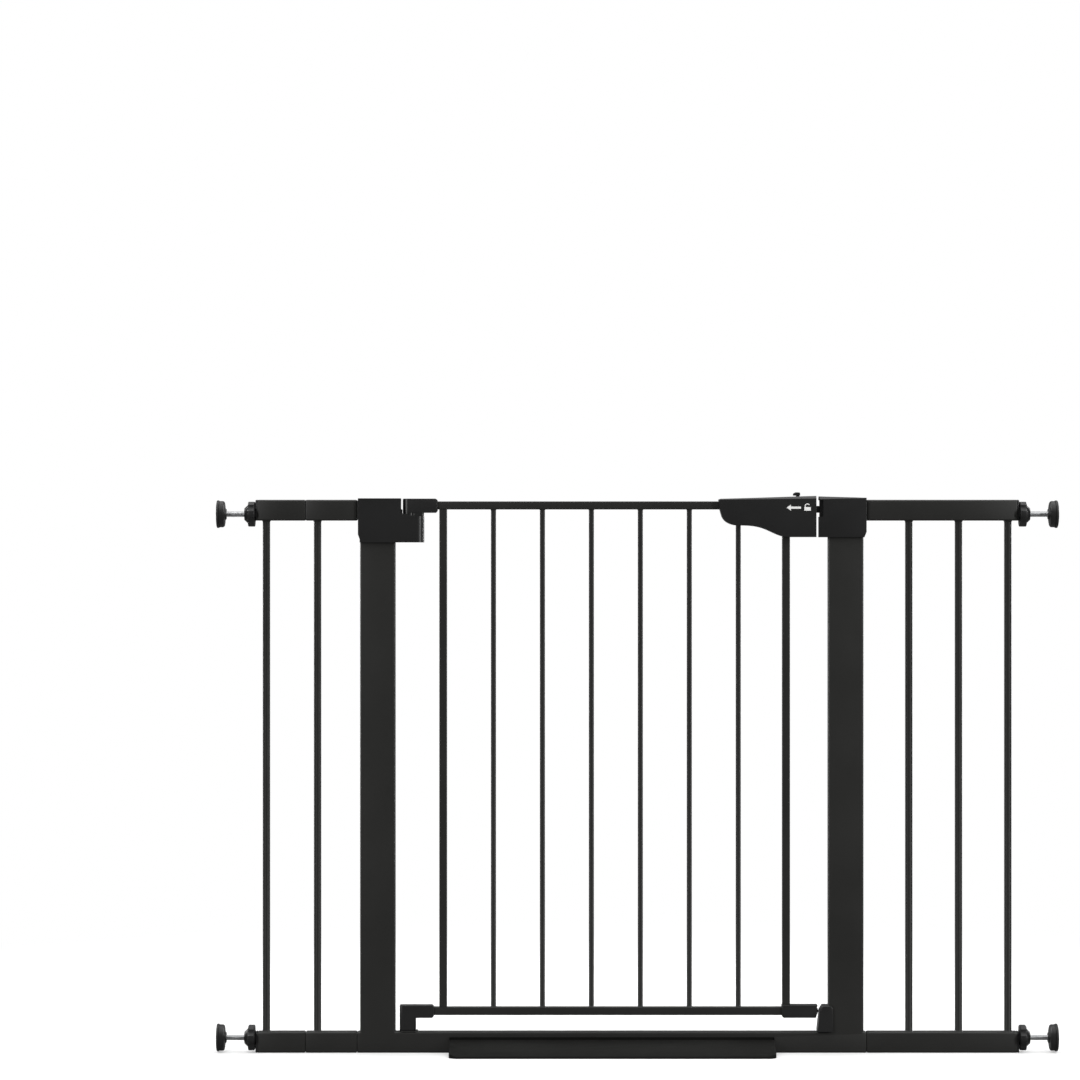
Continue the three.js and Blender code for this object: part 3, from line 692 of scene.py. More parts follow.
def dress(
    piece: Piece, finish: Finish, body: str, nodes: Sequence[str] = (), smooth: float = 32.0
) -> Piece:
    """Cleans a piece, gives it its finish and fixes it to its body.

    Args:
        piece: The piece.
        finish: What it is made of.
        body: The body it moves with.
        nodes: The CAD nodes that it stands for.
        smooth: The angle, in degrees, up to which its faces shade as one.

    Returns:
        The piece.
    """
    Bench.pick(piece)
    bpy.ops.object.mode_set(mode="EDIT")
    bpy.ops.mesh.select_all(action="SELECT")
    bpy.ops.mesh.remove_doubles(threshold=Bench.DOUBLES)
    bpy.ops.mesh.normals_make_consistent(inside=False)
    bpy.ops.object.mode_set(mode="OBJECT")
    bpy.ops.object.shade_smooth_by_angle(angle=math.radians(smooth))
    label = piece.name.split(".")[0]
    piece.name = piece.data.name = f"{label}_shape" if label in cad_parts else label
    piece.data.materials.clear()
    piece.data.materials.append(finish.material)
    if nodes:
        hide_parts(*nodes)
    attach(piece, body)
    LOG.info("%s on %s, %d faces", piece.name, body, len(piece.data.polygons))
    return piece


def arc(centre: Point, radius: float, start: float, end: float, steps: int) -> list[Point]:
    """Points on an arc, angles in degrees."""
    turns = [math.radians(start + (end - start) * i / steps) for i in range(steps + 1)]
    return [(centre[0] + radius * math.cos(t), centre[1] + radius * math.sin(t)) for t in turns]


def curve(corners: Sequence[Point], steps: int) -> list[Point]:
    """Points on a cubic curve through its first and last corner, the first left out."""
    points = []
    for i in range(1, steps + 1):
        t = i / steps
        weights = ((1 - t) ** 3, 3 * t * (1 - t) ** 2, 3 * t * t * (1 - t), t**3)
        points.append(
            tuple(sum(w * c[k] for w, c in zip(weights, corners)) for k in (0, 1))
        )
    return points


# ---------------------------------------------------------------- welded steel
@dataclass
class SteelFrame:
    """The welded U-frame and the plug-in extensions."""

    corner: float = 0.0025  # radius of the tubes' long edges
    wall: float = 0.0013
    groove: float = 0.0018  # round of the cut ends, which meet as a dark groove
    fillet: float = 0.0012  # weld fillets
    spigot: float = 0.04  # how far an extension reaches into its neighbour
    spigot_play: float = 0.0003
    spigot_root: float = 0.018
    bar_run_on: float = 0.0004  # how far a bar runs on into the tubes

    def u_frame(self) -> None:
        """Both posts and the threshold tube, welded and coated as one."""
        low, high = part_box("threshold_tube")
        whole = Bench.block("u_frame", low, high)
        for post in ("left_post", "right_post"):
            post_low, post_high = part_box(post)
            post_low.z = (low.z + high.z) / 2
            Bench.weld(whole, Bench.block("post", post_low, post_high))
        Bench.flatten(whole)
        ends = any_of(near(Axis.X, low.x), near(Axis.X, high.x))
        Bench.bevel(whole, self.corner, 5, but_not(ends))
        Bench.bevel(whole, self.groove, 2, ends)
        Bench.bevel(whole, self.fillet, 3, inner=True)
        dress(whole, Finish.STEEL, "frame", ["left_post", "right_post", "threshold_tube"])

    def tube(self, name: str, low: Vector, high: Vector) -> Piece:
        """A rounded rectangular tube along X, open at both ends."""
        shell = Bench.block(name, low, high)
        Bench.bevel(shell, self.corner, 5, runs_along(Axis.X))
        Bench.bevel(shell, self.groove, 2, but_not(runs_along(Axis.X)))
        self.hollow(shell, low, high)
        return shell

    def hollow(self, shell: Piece, low: Vector, high: Vector) -> None:
        """Bores a tube along X, leaving its wall."""
        margin = Vector((-Bench.PAST, self.wall, self.wall))
        Bench.cut(shell, Bench.block("bore", low + margin, high - margin))

    def extension_tube(self, node: str, z: float, height: float, outwards: int) -> None:
        """An extension's tube with the spigot that plugs into its neighbour."""
        low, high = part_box(node)
        mouth = high.x - self.spigot if outwards < 0 else low.x + self.spigot
        start, end = (low.x, mouth) if outwards < 0 else (mouth, high.x)
        shell = self.tube(node, Vector((start, low.y, z)), Vector((end, high.y, z + height)))
        inset = self.wall + self.spigot_play
        root = mouth + outwards * self.spigot_root
        tip = mouth - outwards * (self.spigot - self.spigot_play)
        inner_low = Vector((min(root, tip), low.y + inset, z + inset))
        inner_high = Vector((max(root, tip), high.y - inset, z + height - inset))
        tongue = Bench.block("tongue", inner_low, inner_high)
        Bench.bevel(tongue, self.wall, 2, runs_along(Axis.X))
        self.hollow(tongue, inner_low, inner_high)
        dress(Bench.gather(node, [shell, tongue]), Finish.STEEL, "frame", [node])

    def bar(self, node: str, body: str, foot: float) -> None:
        """A round bar with a weld fillet that spreads to a foot at each end."""
        low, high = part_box(node)
        radius = (high.x - low.x) / 2
        centre = ((low.x + high.x) / 2, (low.y + high.y) / 2)
        bottom, top = low.z - self.bar_run_on, high.z + self.bar_run_on
        stations = [(radius + foot, bottom)]
        for share, rise in ((0.55, 0.35), (0.2, 0.8), (0.0, 1.6)):
            stations.append((radius + foot * share, low.z + foot * rise))
        stations += [(r, bottom + top - z) for r, z in reversed(stations)]
        dress(Bench.turned(node, Axis.Z, centre, stations, 40), Finish.STEEL, body, [node])

    def build(self) -> None:
        """Builds and dresses all of the fixed steel."""
        self.u_frame()
        for stub in ("left_top_stub", "right_top_stub"):
            dress(self.tube(stub, *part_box(stub)), Finish.STEEL, "frame", [stub])
        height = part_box("left_top_stub")[1].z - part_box("left_top_stub")[0].z
        for level in ("top", "bottom"):
            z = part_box("left_top_stub" if level == "top" else "threshold_tube")[0].z
            self.extension_tube(f"left_inner_{level}_tube", z, height, -1)
            self.extension_tube(f"left_outer_{level}_tube", z, height, -1)
            self.extension_tube(f"right_{level}_tube", z, height, 1)
        for node in ("left_inner_bar", "left_outer_bar", "right_bar_1", "right_bar_2", "right_bar_3"):
            self.bar(node, "frame", foot=0.0011)


@dataclass
class DoorPanel:
    """The door's rails, uprights and thin bars."""

    steel: SteelFrame
    corner: float = 0.0013
    run_on: float = 0.0003
    bars: int = 6

    def stick(self, node: str, axis: Axis, spread: float) -> None:
        """A small square tube, spread a little at both ends."""
        low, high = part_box(node)
        low, high = low - axis.vector * spread, high + axis.vector * spread
        stick = Bench.block(node, low, high)
        Bench.bevel(stick, self.corner, 4, runs_along(axis))
        dress(stick, Finish.STEEL, "door", [node])

    def build(self) -> None:
        """Builds and dresses the door's steel."""
        for node in ("door_top_rail", "door_bottom_rail"):
            self.stick(node, Axis.X, 0.0)
        for node in ("door_hinge_upright", "door_latch_upright"):
            self.stick(node, Axis.Z, self.run_on)
        for i in range(1, self.bars + 1):
            self.steel.bar(f"door_bar_{i}", "door", foot=0.0007)


# ---------------------------------------------------------------- wall spindles
@dataclass
class Spindles:
    """The four threaded rods with their plugs, hand nuts and wall pads."""

    pitch: float = 0.00125
    major: float = 0.004
    minor: float = 0.00335
    thread_turns: int = 48
    thread_end: float = 0.001  # from the thread's end to the rod's
    turn_steps: int = 20
    plug_bore: float = 0.0044
    plug_play: float = 0.0016  # from the plug's tongue to the tube's outside
    nut_bore: float = 0.0042
    wheel: Span = (0.0009, 0.0101)  # where the nut's wheel starts and ends, from its inner face
    wheel_round: float = 0.0014
    lobes: int = 6
    scallop: float = 0.0085  # radius of the hollows between the nut's lobes
    scallop_depth: float = 0.0022
    socket: float = 0.0043
    socket_floor: float = 0.0078
    grip_rings: tuple[float, ...] = (0.0150, 0.0090)
    corner: float = 0.0025

    def plug(self) -> Piece:
        """The moulded cap in the tube's end, bored for the rod."""
        low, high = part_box("right_top_end_plug")
        tube_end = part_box("right_top_tube")[1].x
        plate = Bench.block("plug", (tube_end + 0.0001, low.y, low.z), high)
        Bench.bevel(plate, self.corner, 5, runs_along(Axis.X))
        Bench.bevel(plate, 0.0015, 3, near(Axis.X, high.x))
        tongue_low = Vector((low.x, low.y + self.plug_play, low.z + self.plug_play))
        tongue_high = Vector((tube_end + 0.001, high.y - self.plug_play, high.z - self.plug_play))
        Bench.weld(plate, Bench.block("tongue", tongue_low, tongue_high))
        self.bore(plate, self.plug_bore, low.x - Bench.PAST, high.x + Bench.PAST)
        return plate

    def bore(self, piece: Piece, radius: float, start: float, end: float) -> None:
        """Bores a piece along the master spindle's axis."""
        Bench.cut(piece, Bench.rod("bore", Axis.X, self.axis_of("right_top"), radius, start, end))

    @staticmethod
    def axis_of(corner: str) -> Point:
        """Where a corner's spindle axis lies, in Y and Z."""
        low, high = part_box(f"{corner}_spindle_rod")
        return ((low.y + high.y) / 2, (low.z + high.z) / 2)

    def rod(self) -> Piece:
        """The rod: a plain inner end and a rolled thread to the pad."""
        low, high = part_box("right_top_spindle_rod")
        centre = self.axis_of("right_top")
        core = Bench.turned(
            "core",
            Axis.X,
            centre,
            [(self.minor - 0.0006, low.x), (self.minor, low.x + 0.0006), (self.minor, high.x)],
            32,
        )
        start = high.x - self.thread_turns * self.pitch - self.thread_end
        root, crest = self.minor - 0.0001, self.major
        profile = [(0.0, root), (0.36, crest), (0.5, crest), (0.86, root), (1.0, root)]
        spots = [Vector((start + s * self.pitch, 0.0, r)) for s, r in profile]
        thread = Bench.chain("thread", spots)
        bpy.ops.object.mode_set(mode="OBJECT")
        Bench.wind(thread, Axis.X, self.pitch, self.thread_turns - 1, self.turn_steps)
        bpy.ops.object.mode_set(mode="EDIT")
        bpy.ops.mesh.select_all(action="SELECT")
        bpy.ops.mesh.remove_doubles(threshold=Bench.DOUBLES)
        bpy.ops.mesh.select_all(action="DESELECT")
        bpy.ops.mesh.select_non_manifold()
        bpy.ops.mesh.edge_face_add()
        bpy.ops.object.mode_set(mode="OBJECT")
        thread.data.transform(Matrix.Translation((0.0, centre[0], centre[1])))
        return Bench.gather("rod", [core, thread])

    def nut(self) -> Piece:
        """The lobed hand nut: a scalloped wheel on a tapered hub."""
        low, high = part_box("right_top_star_nut")
        centre = self.axis_of("right_top")
        radius = (high.y - low.y) / 2
        start, end = (low.x + place for place in self.wheel)
        wheel = Bench.rod("nut", Axis.X, centre, radius, start, end)
        offset = radius + self.scallop - self.scallop_depth
        for i in range(self.lobes):
            angle = 2 * math.pi * (i + 0.5) / self.lobes
            spot = (centre[0] + offset * math.cos(angle), centre[1] + offset * math.sin(angle))
            hollow = Bench.rod("hollow", Axis.X, spot, self.scallop, low.x - Bench.PAST, high.x)
            Bench.cut(wheel, hollow)
        Bench.flatten(wheel)
        rims = any_of(near(Axis.X, start), near(Axis.X, end))
        Bench.bevel(wheel, self.wheel_round, 4, rims)
        hub = Bench.turned(
            "hub",
            Axis.X,
            centre,
            [
                (0.0104, low.x),
                (0.011, low.x + 0.0006),
                (0.011, low.x + 0.0092),
                (0.0134, low.x + 0.0098),
                (0.0129, low.x + 0.0108),
                (0.0094, high.x - 0.0012),
                (0.0085, high.x),
                (0.0056, high.x),
                (0.0046, high.x - 0.0012),
            ],
        )
        Bench.weld(wheel, hub)
        self.bore(wheel, self.nut_bore, low.x - Bench.PAST, high.x + Bench.PAST)
        return wheel

    def cup(self) -> Piece:
        """The moulded cup behind the pad's facing, with the socket for the rod."""
        low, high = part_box("right_top_wall_pad")
        centre = self.axis_of("right_top")
        cup = Bench.turned(
            "cup",
            Axis.X,
            centre,
            [
                (0.0070, low.x),
                (0.0075, low.x + 0.0005),
                (0.0079, low.x + 0.0018),
                (0.0150, low.x + 0.0022),
                (0.0167, low.x + 0.0026),
                (0.0178, low.x + 0.0035),
                (0.0183, low.x + 0.0050),
                (0.0183, high.x - 0.0041),
                (0.0174, high.x - 0.0038),
                (0.0174, high.x - 0.0030),
            ],
            64,
        )
        self.bore(cup, self.socket, low.x - Bench.PAST, high.x - self.socket_floor)
        return cup

    def facing(self) -> Piece:
        """The soft disc that presses on the wall, with two grip rings in its face."""
        low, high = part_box("right_top_wall_pad")
        centre = self.axis_of("right_top")
        rim = (high.z - low.z) / 2
        stations = [(rim - 0.0008, high.x - 0.0036), (rim - 0.0001, high.x - 0.0032)]
        stations += [(rim, high.x - 0.0010), (rim - 0.0004, high.x - 0.0003), (rim - 0.001, high.x)]
        for groove in self.grip_rings:
            stations += [
                (groove + 0.0008, high.x),
                (groove + 0.0004, high.x - 0.0006),
                (groove - 0.0004, high.x - 0.0006),
                (groove - 0.0008, high.x),
            ]
        stations.append((0.004, high.x))
        return Bench.turned("facing", Axis.X, centre, stations, 64)

    def build(self) -> None:
        """Models each piece once, on the upper right, and copies it to the four corners."""
        masters = {
            "end_plug": (self.plug(), Finish.PLASTIC, "{c}_end_plug", "frame"),
            "spindle_rod": (self.rod(), Finish.ZINC, "{c}_spindle_rod", "{c}_spindle"),
            "star_nut": (self.nut(), Finish.GLOSS_PLASTIC, "{c}_star_nut", "{c}_nut"),
            "pad_cup": (self.cup(), Finish.GLOSS_PLASTIC, "{c}_wall_pad", "{c}_spindle"),
            "pad_facing": (self.facing(), Finish.RUBBER, "{c}_wall_pad", "{c}_spindle"),
        }
        home = self.axis_of("right_top")
        tube_middle = {
            "top": sum(p.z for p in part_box("right_top_end_plug")) / 2,
            "bottom": sum(p.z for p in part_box("right_bottom_end_plug")) / 2,
        }
        for side in ("left", "right"):
            turn = Matrix.Rotation(math.pi if side == "left" else 0.0, 4, "Z")
            for level in ("top", "bottom"):
                corner = f"{side}_{level}"
                rise = Matrix.Translation((0.0, 0.0, self.axis_of(corner)[1] - home[1]))
                # The bore lies towards the middle of the gate, so the lower plugs are upside down.
                flip = Matrix.Translation((0, 0, tube_middle[level])) @ Matrix.Rotation(
                    0.0 if level == "top" else math.pi, 4, "X"
                ) @ Matrix.Translation((0, 0, -tube_middle["top"]))
                for name, (master, finish, node, body) in masters.items():
                    place = turn @ (flip if name == "end_plug" else rise)
                    piece = Bench.copy(master, f"{corner}_{name}", place)
                    dress(piece, finish, body.format(c=corner), [node.format(c=corner)])
        for master, *_ in masters.values():
            bpy.data.objects.remove(master, do_unlink=True)


# ---------------------------------------------------------------- clamped housings
@dataclass
class Screws:
    """Small cross-head screws in counterbores on the rear shells."""

    head: float = 0.0030
    well: float = 0.0036
    depth: float = 0.0016
    cross: Point = (0.0019, 0.00038)  # half the length and width of the driver's slot

    def drive(self, shell: Piece, spots: Sequence[Point], face: float, body: str) -> None:
        """Sinks a screw at each spot of a rear shell.

        Args:
            shell: The shell, not yet dressed.
            spots: X and Z of each screw.
            face: The shell's rear face, in Y.
            body: The body that the screws ride on.
        """
        floor = face - self.depth
        for i, spot in enumerate(spots, 1):
            Bench.cut(shell, Bench.rod("well", Axis.Y, spot, self.well, floor, face + Bench.PAST))
            screw = Bench.turned(
                f"{shell.name}_screw_{i}",
                Axis.Y,
                spot,
                [
                    (self.head, floor - 0.0002),
                    (self.head, floor + 0.0003),
                    (self.head * 0.88, floor + 0.0008),
                    (self.head * 0.6, floor + 0.0011),
                    (self.head * 0.2, floor + 0.0012),
                ],
                32,
            )
            for wide, tall in (self.cross, self.cross[::-1]):
                low = (spot[0] - wide, floor + 0.0003, spot[1] - tall)
                high = (spot[0] + wide, floor + 0.002, spot[1] + tall)
                Bench.cut(screw, Bench.block("cross", low, high))
            dress(screw, Finish.ZINC, body)


@dataclass
class HingeEnd:
    """Everything at the hinge side: housing, cap, elbow and pins."""

    axis_x: float = -0.3186  # the door's pivot
    round: float = 0.0014  # front and rear edges of the shells
    arm_round: float = 0.0115  # free vertical edge of the housing's arm
    parting: float = 0.0003
    slope: float = 0.0024  # corners cut off in the front view
    shoulder: Span = (0.722, 0.715)  # where the housing's left side steps in, from and to
    slot_x: float = -0.3295
    seat: float = 0.7516
    shelf_x: float = -0.307
    shelf: float = 0.7468
    step_reach: float = 0.0019  # the step at the slot's foot
    step_half: float = 0.011
    step_top: float = 0.757
    step_root: float = 0.004
    step_round: float = 0.0012
    rib: Span = (-0.313, -0.2974)  # along the arm
    rib_height: Span = (0.745, 0.7518)
    rib_half: float = 0.0082
    rib_round: float = 0.003
    pocket: float = 0.010  # round the cap's boss
    pocket_height: Span = (0.742, 0.753)
    spring_room: float = 0.0092
    spring_height: Span = (0.719, 0.739)
    pin_bore: float = 0.0038
    pin_height: Span = (0.70, 0.76)
    cap_bottom: float = 0.7519
    nose_round: float = 0.008
    boss: float = 0.0082
    cap_bore_top: float = 0.7695
    leg_x: float = -0.3084
    elbow_arm: float = 0.0484
    elbow_round: float = 0.004
    elbow_bore: float = 0.0043
    elbow_bore_top: float = 0.0582
    edge: float = 0.0009  # small rounds on the cap and the elbow
    collar_top: float = 0.0305
    collar_round: float = 0.0045
    lower_pin_radius: float = 0.004

    def housing(self) -> None:
        """The clamp on the left post, in two shells, with the seat under the door's cap."""
        low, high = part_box("hinge_housing_front")
        outline = [
            (low.x, self.shoulder[0]),
            (low.x + self.slope, self.shoulder[1]),
            (low.x + self.slope, low.z),
            (high.x, low.z),
            (high.x, self.shelf),
            (self.shelf_x, self.shelf),
            (self.slot_x, self.seat),
            (self.slot_x, high.z),
            (low.x, high.z),
        ]
        front = Bench.drawn("hinge_housing_front", Axis.Y, outline, low.y, high.y)
        Bench.bevel(front, self.arm_round, 8, all_of(near(Axis.X, high.x), near(Axis.Y, low.y)))
        Bench.bevel(front, self.round, 4, near(Axis.Y, low.y))
        Bench.bevel(front, self.parting, 1, near(Axis.Y, high.y))
        step_end = self.slot_x + self.step_reach
        root = (self.slot_x - self.step_root, -self.step_half, self.seat - self.step_root)
        step = Bench.block("step", root, (step_end, high.y, self.step_top))
        crest = all_of(near(Axis.Z, self.step_top), near(Axis.X, step_end))
        Bench.bevel(step, self.step_round, 3, crest)
        Bench.weld(front, step)
        start, end = self.rib
        root, crown = self.rib_height
        rib = Bench.block("rib", (start, -self.rib_half, root), (end, high.y, crown))
        uprights = all_of(runs_along(Axis.Z), near(Axis.Y, -self.rib_half))
        Bench.bevel(rib, self.rib_round, 4, uprights)
        Bench.weld(front, rib)
        self.bore(front, self.pocket, *self.pocket_height)
        self.bore(front, self.spring_room, *self.spring_height)
        self.bore(front, self.pin_bore, *self.pin_height)
        rear = Bench.copy(front, "hinge_housing_rear", Matrix.Scale(-1, 4, (0, 1, 0)))
        spots = [(-0.382, 0.764), (-0.341, 0.764), (-0.382, 0.724), (-0.3415, 0.7165)]
        Screws().drive(rear, spots, -low.y, "frame")
        dress(front, Finish.PLASTIC, "frame", ["hinge_housing_front"])
        dress(rear, Finish.PLASTIC, "frame", ["hinge_housing_rear"])

    def bore(self, piece: Piece, radius: float, bottom: float, top: float) -> None:
        """Bores a piece about the door's pivot."""
        Bench.cut(piece, Bench.rod("bore", Axis.Z, (self.axis_x, 0.0), radius, bottom, top))

    def cap(self) -> None:
        """The door's upper hinge cap, with its round boss."""
        low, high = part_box("door_upper_hinge_cap")
        bottom = self.cap_bottom
        outline = [(low.x, bottom)] + self.blunt_end(bottom, high) + [(low.x, high.z)]
        cap = Bench.drawn("door_upper_hinge_cap", Axis.Y, outline, low.y, high.y)
        Bench.bevel(cap, self.nose_round, 8, all_of(near(Axis.X, low.x), runs_along(Axis.Z)))
        Bench.bevel(cap, self.edge, 3, but_not(near(Axis.Z, bottom)))
        boss = Bench.rod("boss", Axis.Z, (self.axis_x, 0.0), self.boss, low.z, bottom + 0.001)
        Bench.weld(cap, boss)
        self.bore(cap, self.pin_bore, low.z - Bench.PAST, self.cap_bore_top)
        dress(cap, Finish.PLASTIC, "door", ["door_upper_hinge_cap"])

    def blunt_end(self, bottom: float, high: Vector) -> list[Point]:
        """The right end of the cap and the elbow, with both of its corners cut off."""
        return [
            (high.x - self.slope, bottom),
            (high.x, bottom + self.slope),
            (high.x, high.z - self.slope),
            (high.x - self.slope, high.z),
        ]

    def elbow(self) -> None:
        """The door's lower elbow, which stands on the collar of the lower pin."""
        low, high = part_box("door_lower_hinge_elbow")
        outline = [(low.x, low.z), (self.leg_x, low.z), (self.leg_x, self.elbow_arm)]
        outline += self.blunt_end(self.elbow_arm, high) + [(low.x, high.z)]
        elbow = Bench.drawn("door_lower_hinge_elbow", Axis.Y, outline, low.y, high.y)
        sides = any_of(near(Axis.X, low.x), near(Axis.X, self.leg_x))
        Bench.bevel(elbow, self.elbow_round, 6, all_of(runs_along(Axis.Z), sides))
        Bench.bevel(elbow, self.edge, 3)
        self.bore(elbow, self.elbow_bore, low.z - Bench.PAST, self.elbow_bore_top)
        dress(elbow, Finish.PLASTIC, "door", ["door_lower_hinge_elbow"])

    def lower_pin(self) -> None:
        """The collar welded on the threshold tube and the pin that stands in it."""
        low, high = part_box("lower_hinge_pin")
        top, radius = self.collar_top, self.lower_pin_radius
        foot = (low.x, low.y, low.z - 0.0003)
        collar = Bench.block("lower_hinge_pin", foot, (high.x, high.y, top))
        Bench.bevel(collar, self.collar_round, 6, runs_along(Axis.Z))
        Bench.bevel(collar, 0.0004, 2, near(Axis.Z, top))
        stations = [(radius, top - 0.0006), (radius, high.z - 0.001), (radius - 0.001, high.z)]
        pin = Bench.turned("pin", Axis.Z, (self.axis_x, 0.0), stations)
        Bench.weld(collar, pin)
        dress(collar, Finish.STEEL, "frame", ["lower_hinge_pin"])

    def build(self) -> None:
        """Builds and dresses the hinge side."""
        self.housing()
        self.cap()
        self.elbow()
        self.lower_pin()


@dataclass
class LatchEnd:
    """Everything at the latch side: strike, handle, bolt, button, foot and stop."""

    round: float = 0.0015
    parting: float = 0.0003
    cheek_inner: float = 0.0049  # the keeper's cheeks, before and behind the bolt's head
    cheek_outer: float = 0.0066
    cheek_x: float = 0.2544
    keeper_x: float = 0.2586
    keeper: Span = (0.7463, 0.7696)
    lift_top: float = 0.7731
    overlap: float = 0.0003  # how far welded pieces run into each other
    handle_steps: int = 12
    handle_top: float = 0.7714
    room_x: float = 0.2127
    room_half: float = 0.005
    room_play: float = 0.0005
    slot_low: Place = (0.2131, -0.0034, 0.7615)
    slot_high: Place = (0.2276, 0.0034, 0.80)
    print_proud: float = 0.00012
    print_sunk: float = 0.0002
    neck_x: float = 0.2542
    head_half: float = 0.004
    bolt_bar: Span = (0.752, 0.7615)
    spring_bore: float = 0.0031
    spring_seat: float = 0.2428
    button_under: float = 0.7759
    stem_x: float = 0.2215
    stem_half: float = 0.003
    grips: int = 3
    grip_pitch: float = 0.0018

    def strike(self) -> None:
        """The clamp on the right post, with the keeper for the bolt's head."""
        low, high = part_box("strike_housing_front")
        outline = [
            (low.x, low.z),
            (high.x - 0.003, low.z),
            (high.x, low.z + 0.0076),
            (high.x, high.z - 0.0019),
            (low.x, high.z),
        ]
        front = Bench.drawn("strike_housing_front", Axis.Y, outline, low.y, high.y)
        edge_left = (low.x, low.y, high.z - 0.0038)
        edge_right = (high.x, low.y, high.z - 0.0024)
        Bench.pare(front, *self.plane(edge_left, edge_right, (low.x, low.y + 0.004, high.z)))
        Bench.bevel(front, self.round, 4, near(Axis.Y, low.y))
        Bench.bevel(front, self.parting, 1, near(Axis.Y, high.y))
        bottom, top = self.keeper
        inner, outer, reach, lap = self.cheek_inner, self.cheek_outer, self.keeper_x, self.overlap
        mouth, back = low.x - Bench.PAST, high.y + Bench.PAST
        notch = Bench.block("notch", (mouth, low.y - Bench.PAST, bottom), (reach, back, top))
        lift_room = Bench.block("lift_room", (mouth, -inner, bottom), (reach, back, self.lift_top))
        Bench.cut(front, notch, lift_room)
        cheek_low = (self.cheek_x, -outer, bottom - lap)
        Bench.weld(front, Bench.block("cheek", cheek_low, (reach + lap, -inner, top + lap)))
        rear = Bench.copy(front, "strike_housing_rear", Matrix.Scale(-1, 4, (0, 1, 0)))
        spots = [(0.2665, 0.7645), (0.3115, 0.7645), (0.2665, 0.727), (0.3115, 0.730)]
        Screws().drive(rear, spots, -low.y, "frame")
        dress(front, Finish.PLASTIC, "frame", ["strike_housing_front"])
        dress(rear, Finish.PLASTIC, "frame", ["strike_housing_rear"])

    @staticmethod
    def plane(a: Sequence[float], b: Sequence[float], c: Sequence[float]) -> tuple[Vector, Vector]:
        """A point and the upward normal of the plane through three points."""
        first, second, third = Vector(a), Vector(b), Vector(c)
        normal = (second - first).cross(third - first).normalized()
        return first, normal if normal.z > 0 else -normal

    def handle_outline(self) -> list[Point]:
        """The wing of the handle, seen from the front."""
        end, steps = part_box("handle_front_shell")[1].x, self.handle_steps
        outline = [(0.1136, 0.7704)]
        outline += curve([(0.1136, 0.7704), (0.1138, 0.764), (0.1146, 0.757), (0.118, 0.747)], steps // 2)
        outline += curve([(0.118, 0.747), (0.121, 0.7395), (0.129, 0.7346), (0.141, 0.7342)], steps)
        outline += curve([(0.141, 0.7342), (0.156, 0.7344), (0.168, 0.7336), (0.18, 0.7284)], steps)
        outline += curve([(0.18, 0.7284), (0.189, 0.7246), (0.196, 0.7204), (0.204, 0.7188)], steps)
        outline += [(0.213, 0.718), (end, 0.718), (end, 0.7754)]
        top = self.handle_top
        outline += curve([(end, 0.7754), (0.215, 0.7746), (0.16, 0.7724), (0.116, top)], steps // 2)
        return outline

    def handle(self) -> None:
        """The two shells of the handle, hollow for the latch, with the slot for the button."""
        low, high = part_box("handle_front_shell")
        front = Bench.drawn("handle_front_shell", Axis.Y, self.handle_outline(), low.y, high.y)
        edge_right = (high.x, low.y, high.z - 0.0036)
        edge_left = (0.116, low.y, self.handle_top - 0.0012)
        Bench.pare(front, *self.plane(edge_right, edge_left, (high.x, low.y + 0.0042, high.z)))
        Bench.bevel(front, 0.0016, 4, near(Axis.Y, low.y))
        Bench.bevel(front, self.parting, 1, near(Axis.Y, high.y))
        bolt_low, bolt_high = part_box("latch_bolt")
        room_low = (self.room_x, -self.room_half, bolt_low.z - self.room_play)
        room_high = (high.x + Bench.PAST, self.room_half, bolt_high.z + self.room_play)
        room = Bench.block("room", room_low, room_high)
        slot = Bench.block("slot", self.slot_low, self.slot_high)
        Bench.bevel(slot, 0.0006, 2, runs_along(Axis.Z))
        Bench.cut(front, room, slot)
        rear = Bench.copy(front, "handle_rear_shell", Matrix.Scale(-1, 4, (0, 1, 0)))
        spots = [(0.1335, 0.7445), (0.186, 0.7465), (0.2405, 0.7275)]
        Screws().drive(rear, spots, -low.y, "door")
        dress(front, Finish.PLASTIC, "door", ["handle_front_shell"])
        dress(rear, Finish.PLASTIC, "door", ["handle_rear_shell"])
        self.mark(low.y)

    def mark(self, face: float) -> None:
        """A plain white arrow and an open padlock, printed on the handle's front face."""
        proud, sunk = face - self.print_proud, face + self.print_sunk
        arrow = [
            (0.2075, 0.759),
            (0.2135, 0.7632),
            (0.2135, 0.7605),
            (0.2275, 0.7605),
            (0.2275, 0.7575),
            (0.2135, 0.7575),
            (0.2135, 0.7548),
        ]
        lock = [(0.2322, 0.7548), (0.2412, 0.7548), (0.2412, 0.7598)]
        lock += [(0.2340, 0.7598), (0.2340, 0.7612)]
        lock += arc((0.2365, 0.7612), 0.0025, 180, 30, 8)
        lock += arc((0.2365, 0.7612), 0.0037, 30, 180, 10)
        lock += [(0.2328, 0.7598), (0.2322, 0.7598)]
        for name, outline in (("arrow_mark", arrow), ("padlock_mark", lock)):
            dress(Bench.drawn(name, Axis.Y, outline, proud, sunk), Finish.PRINT, "door")

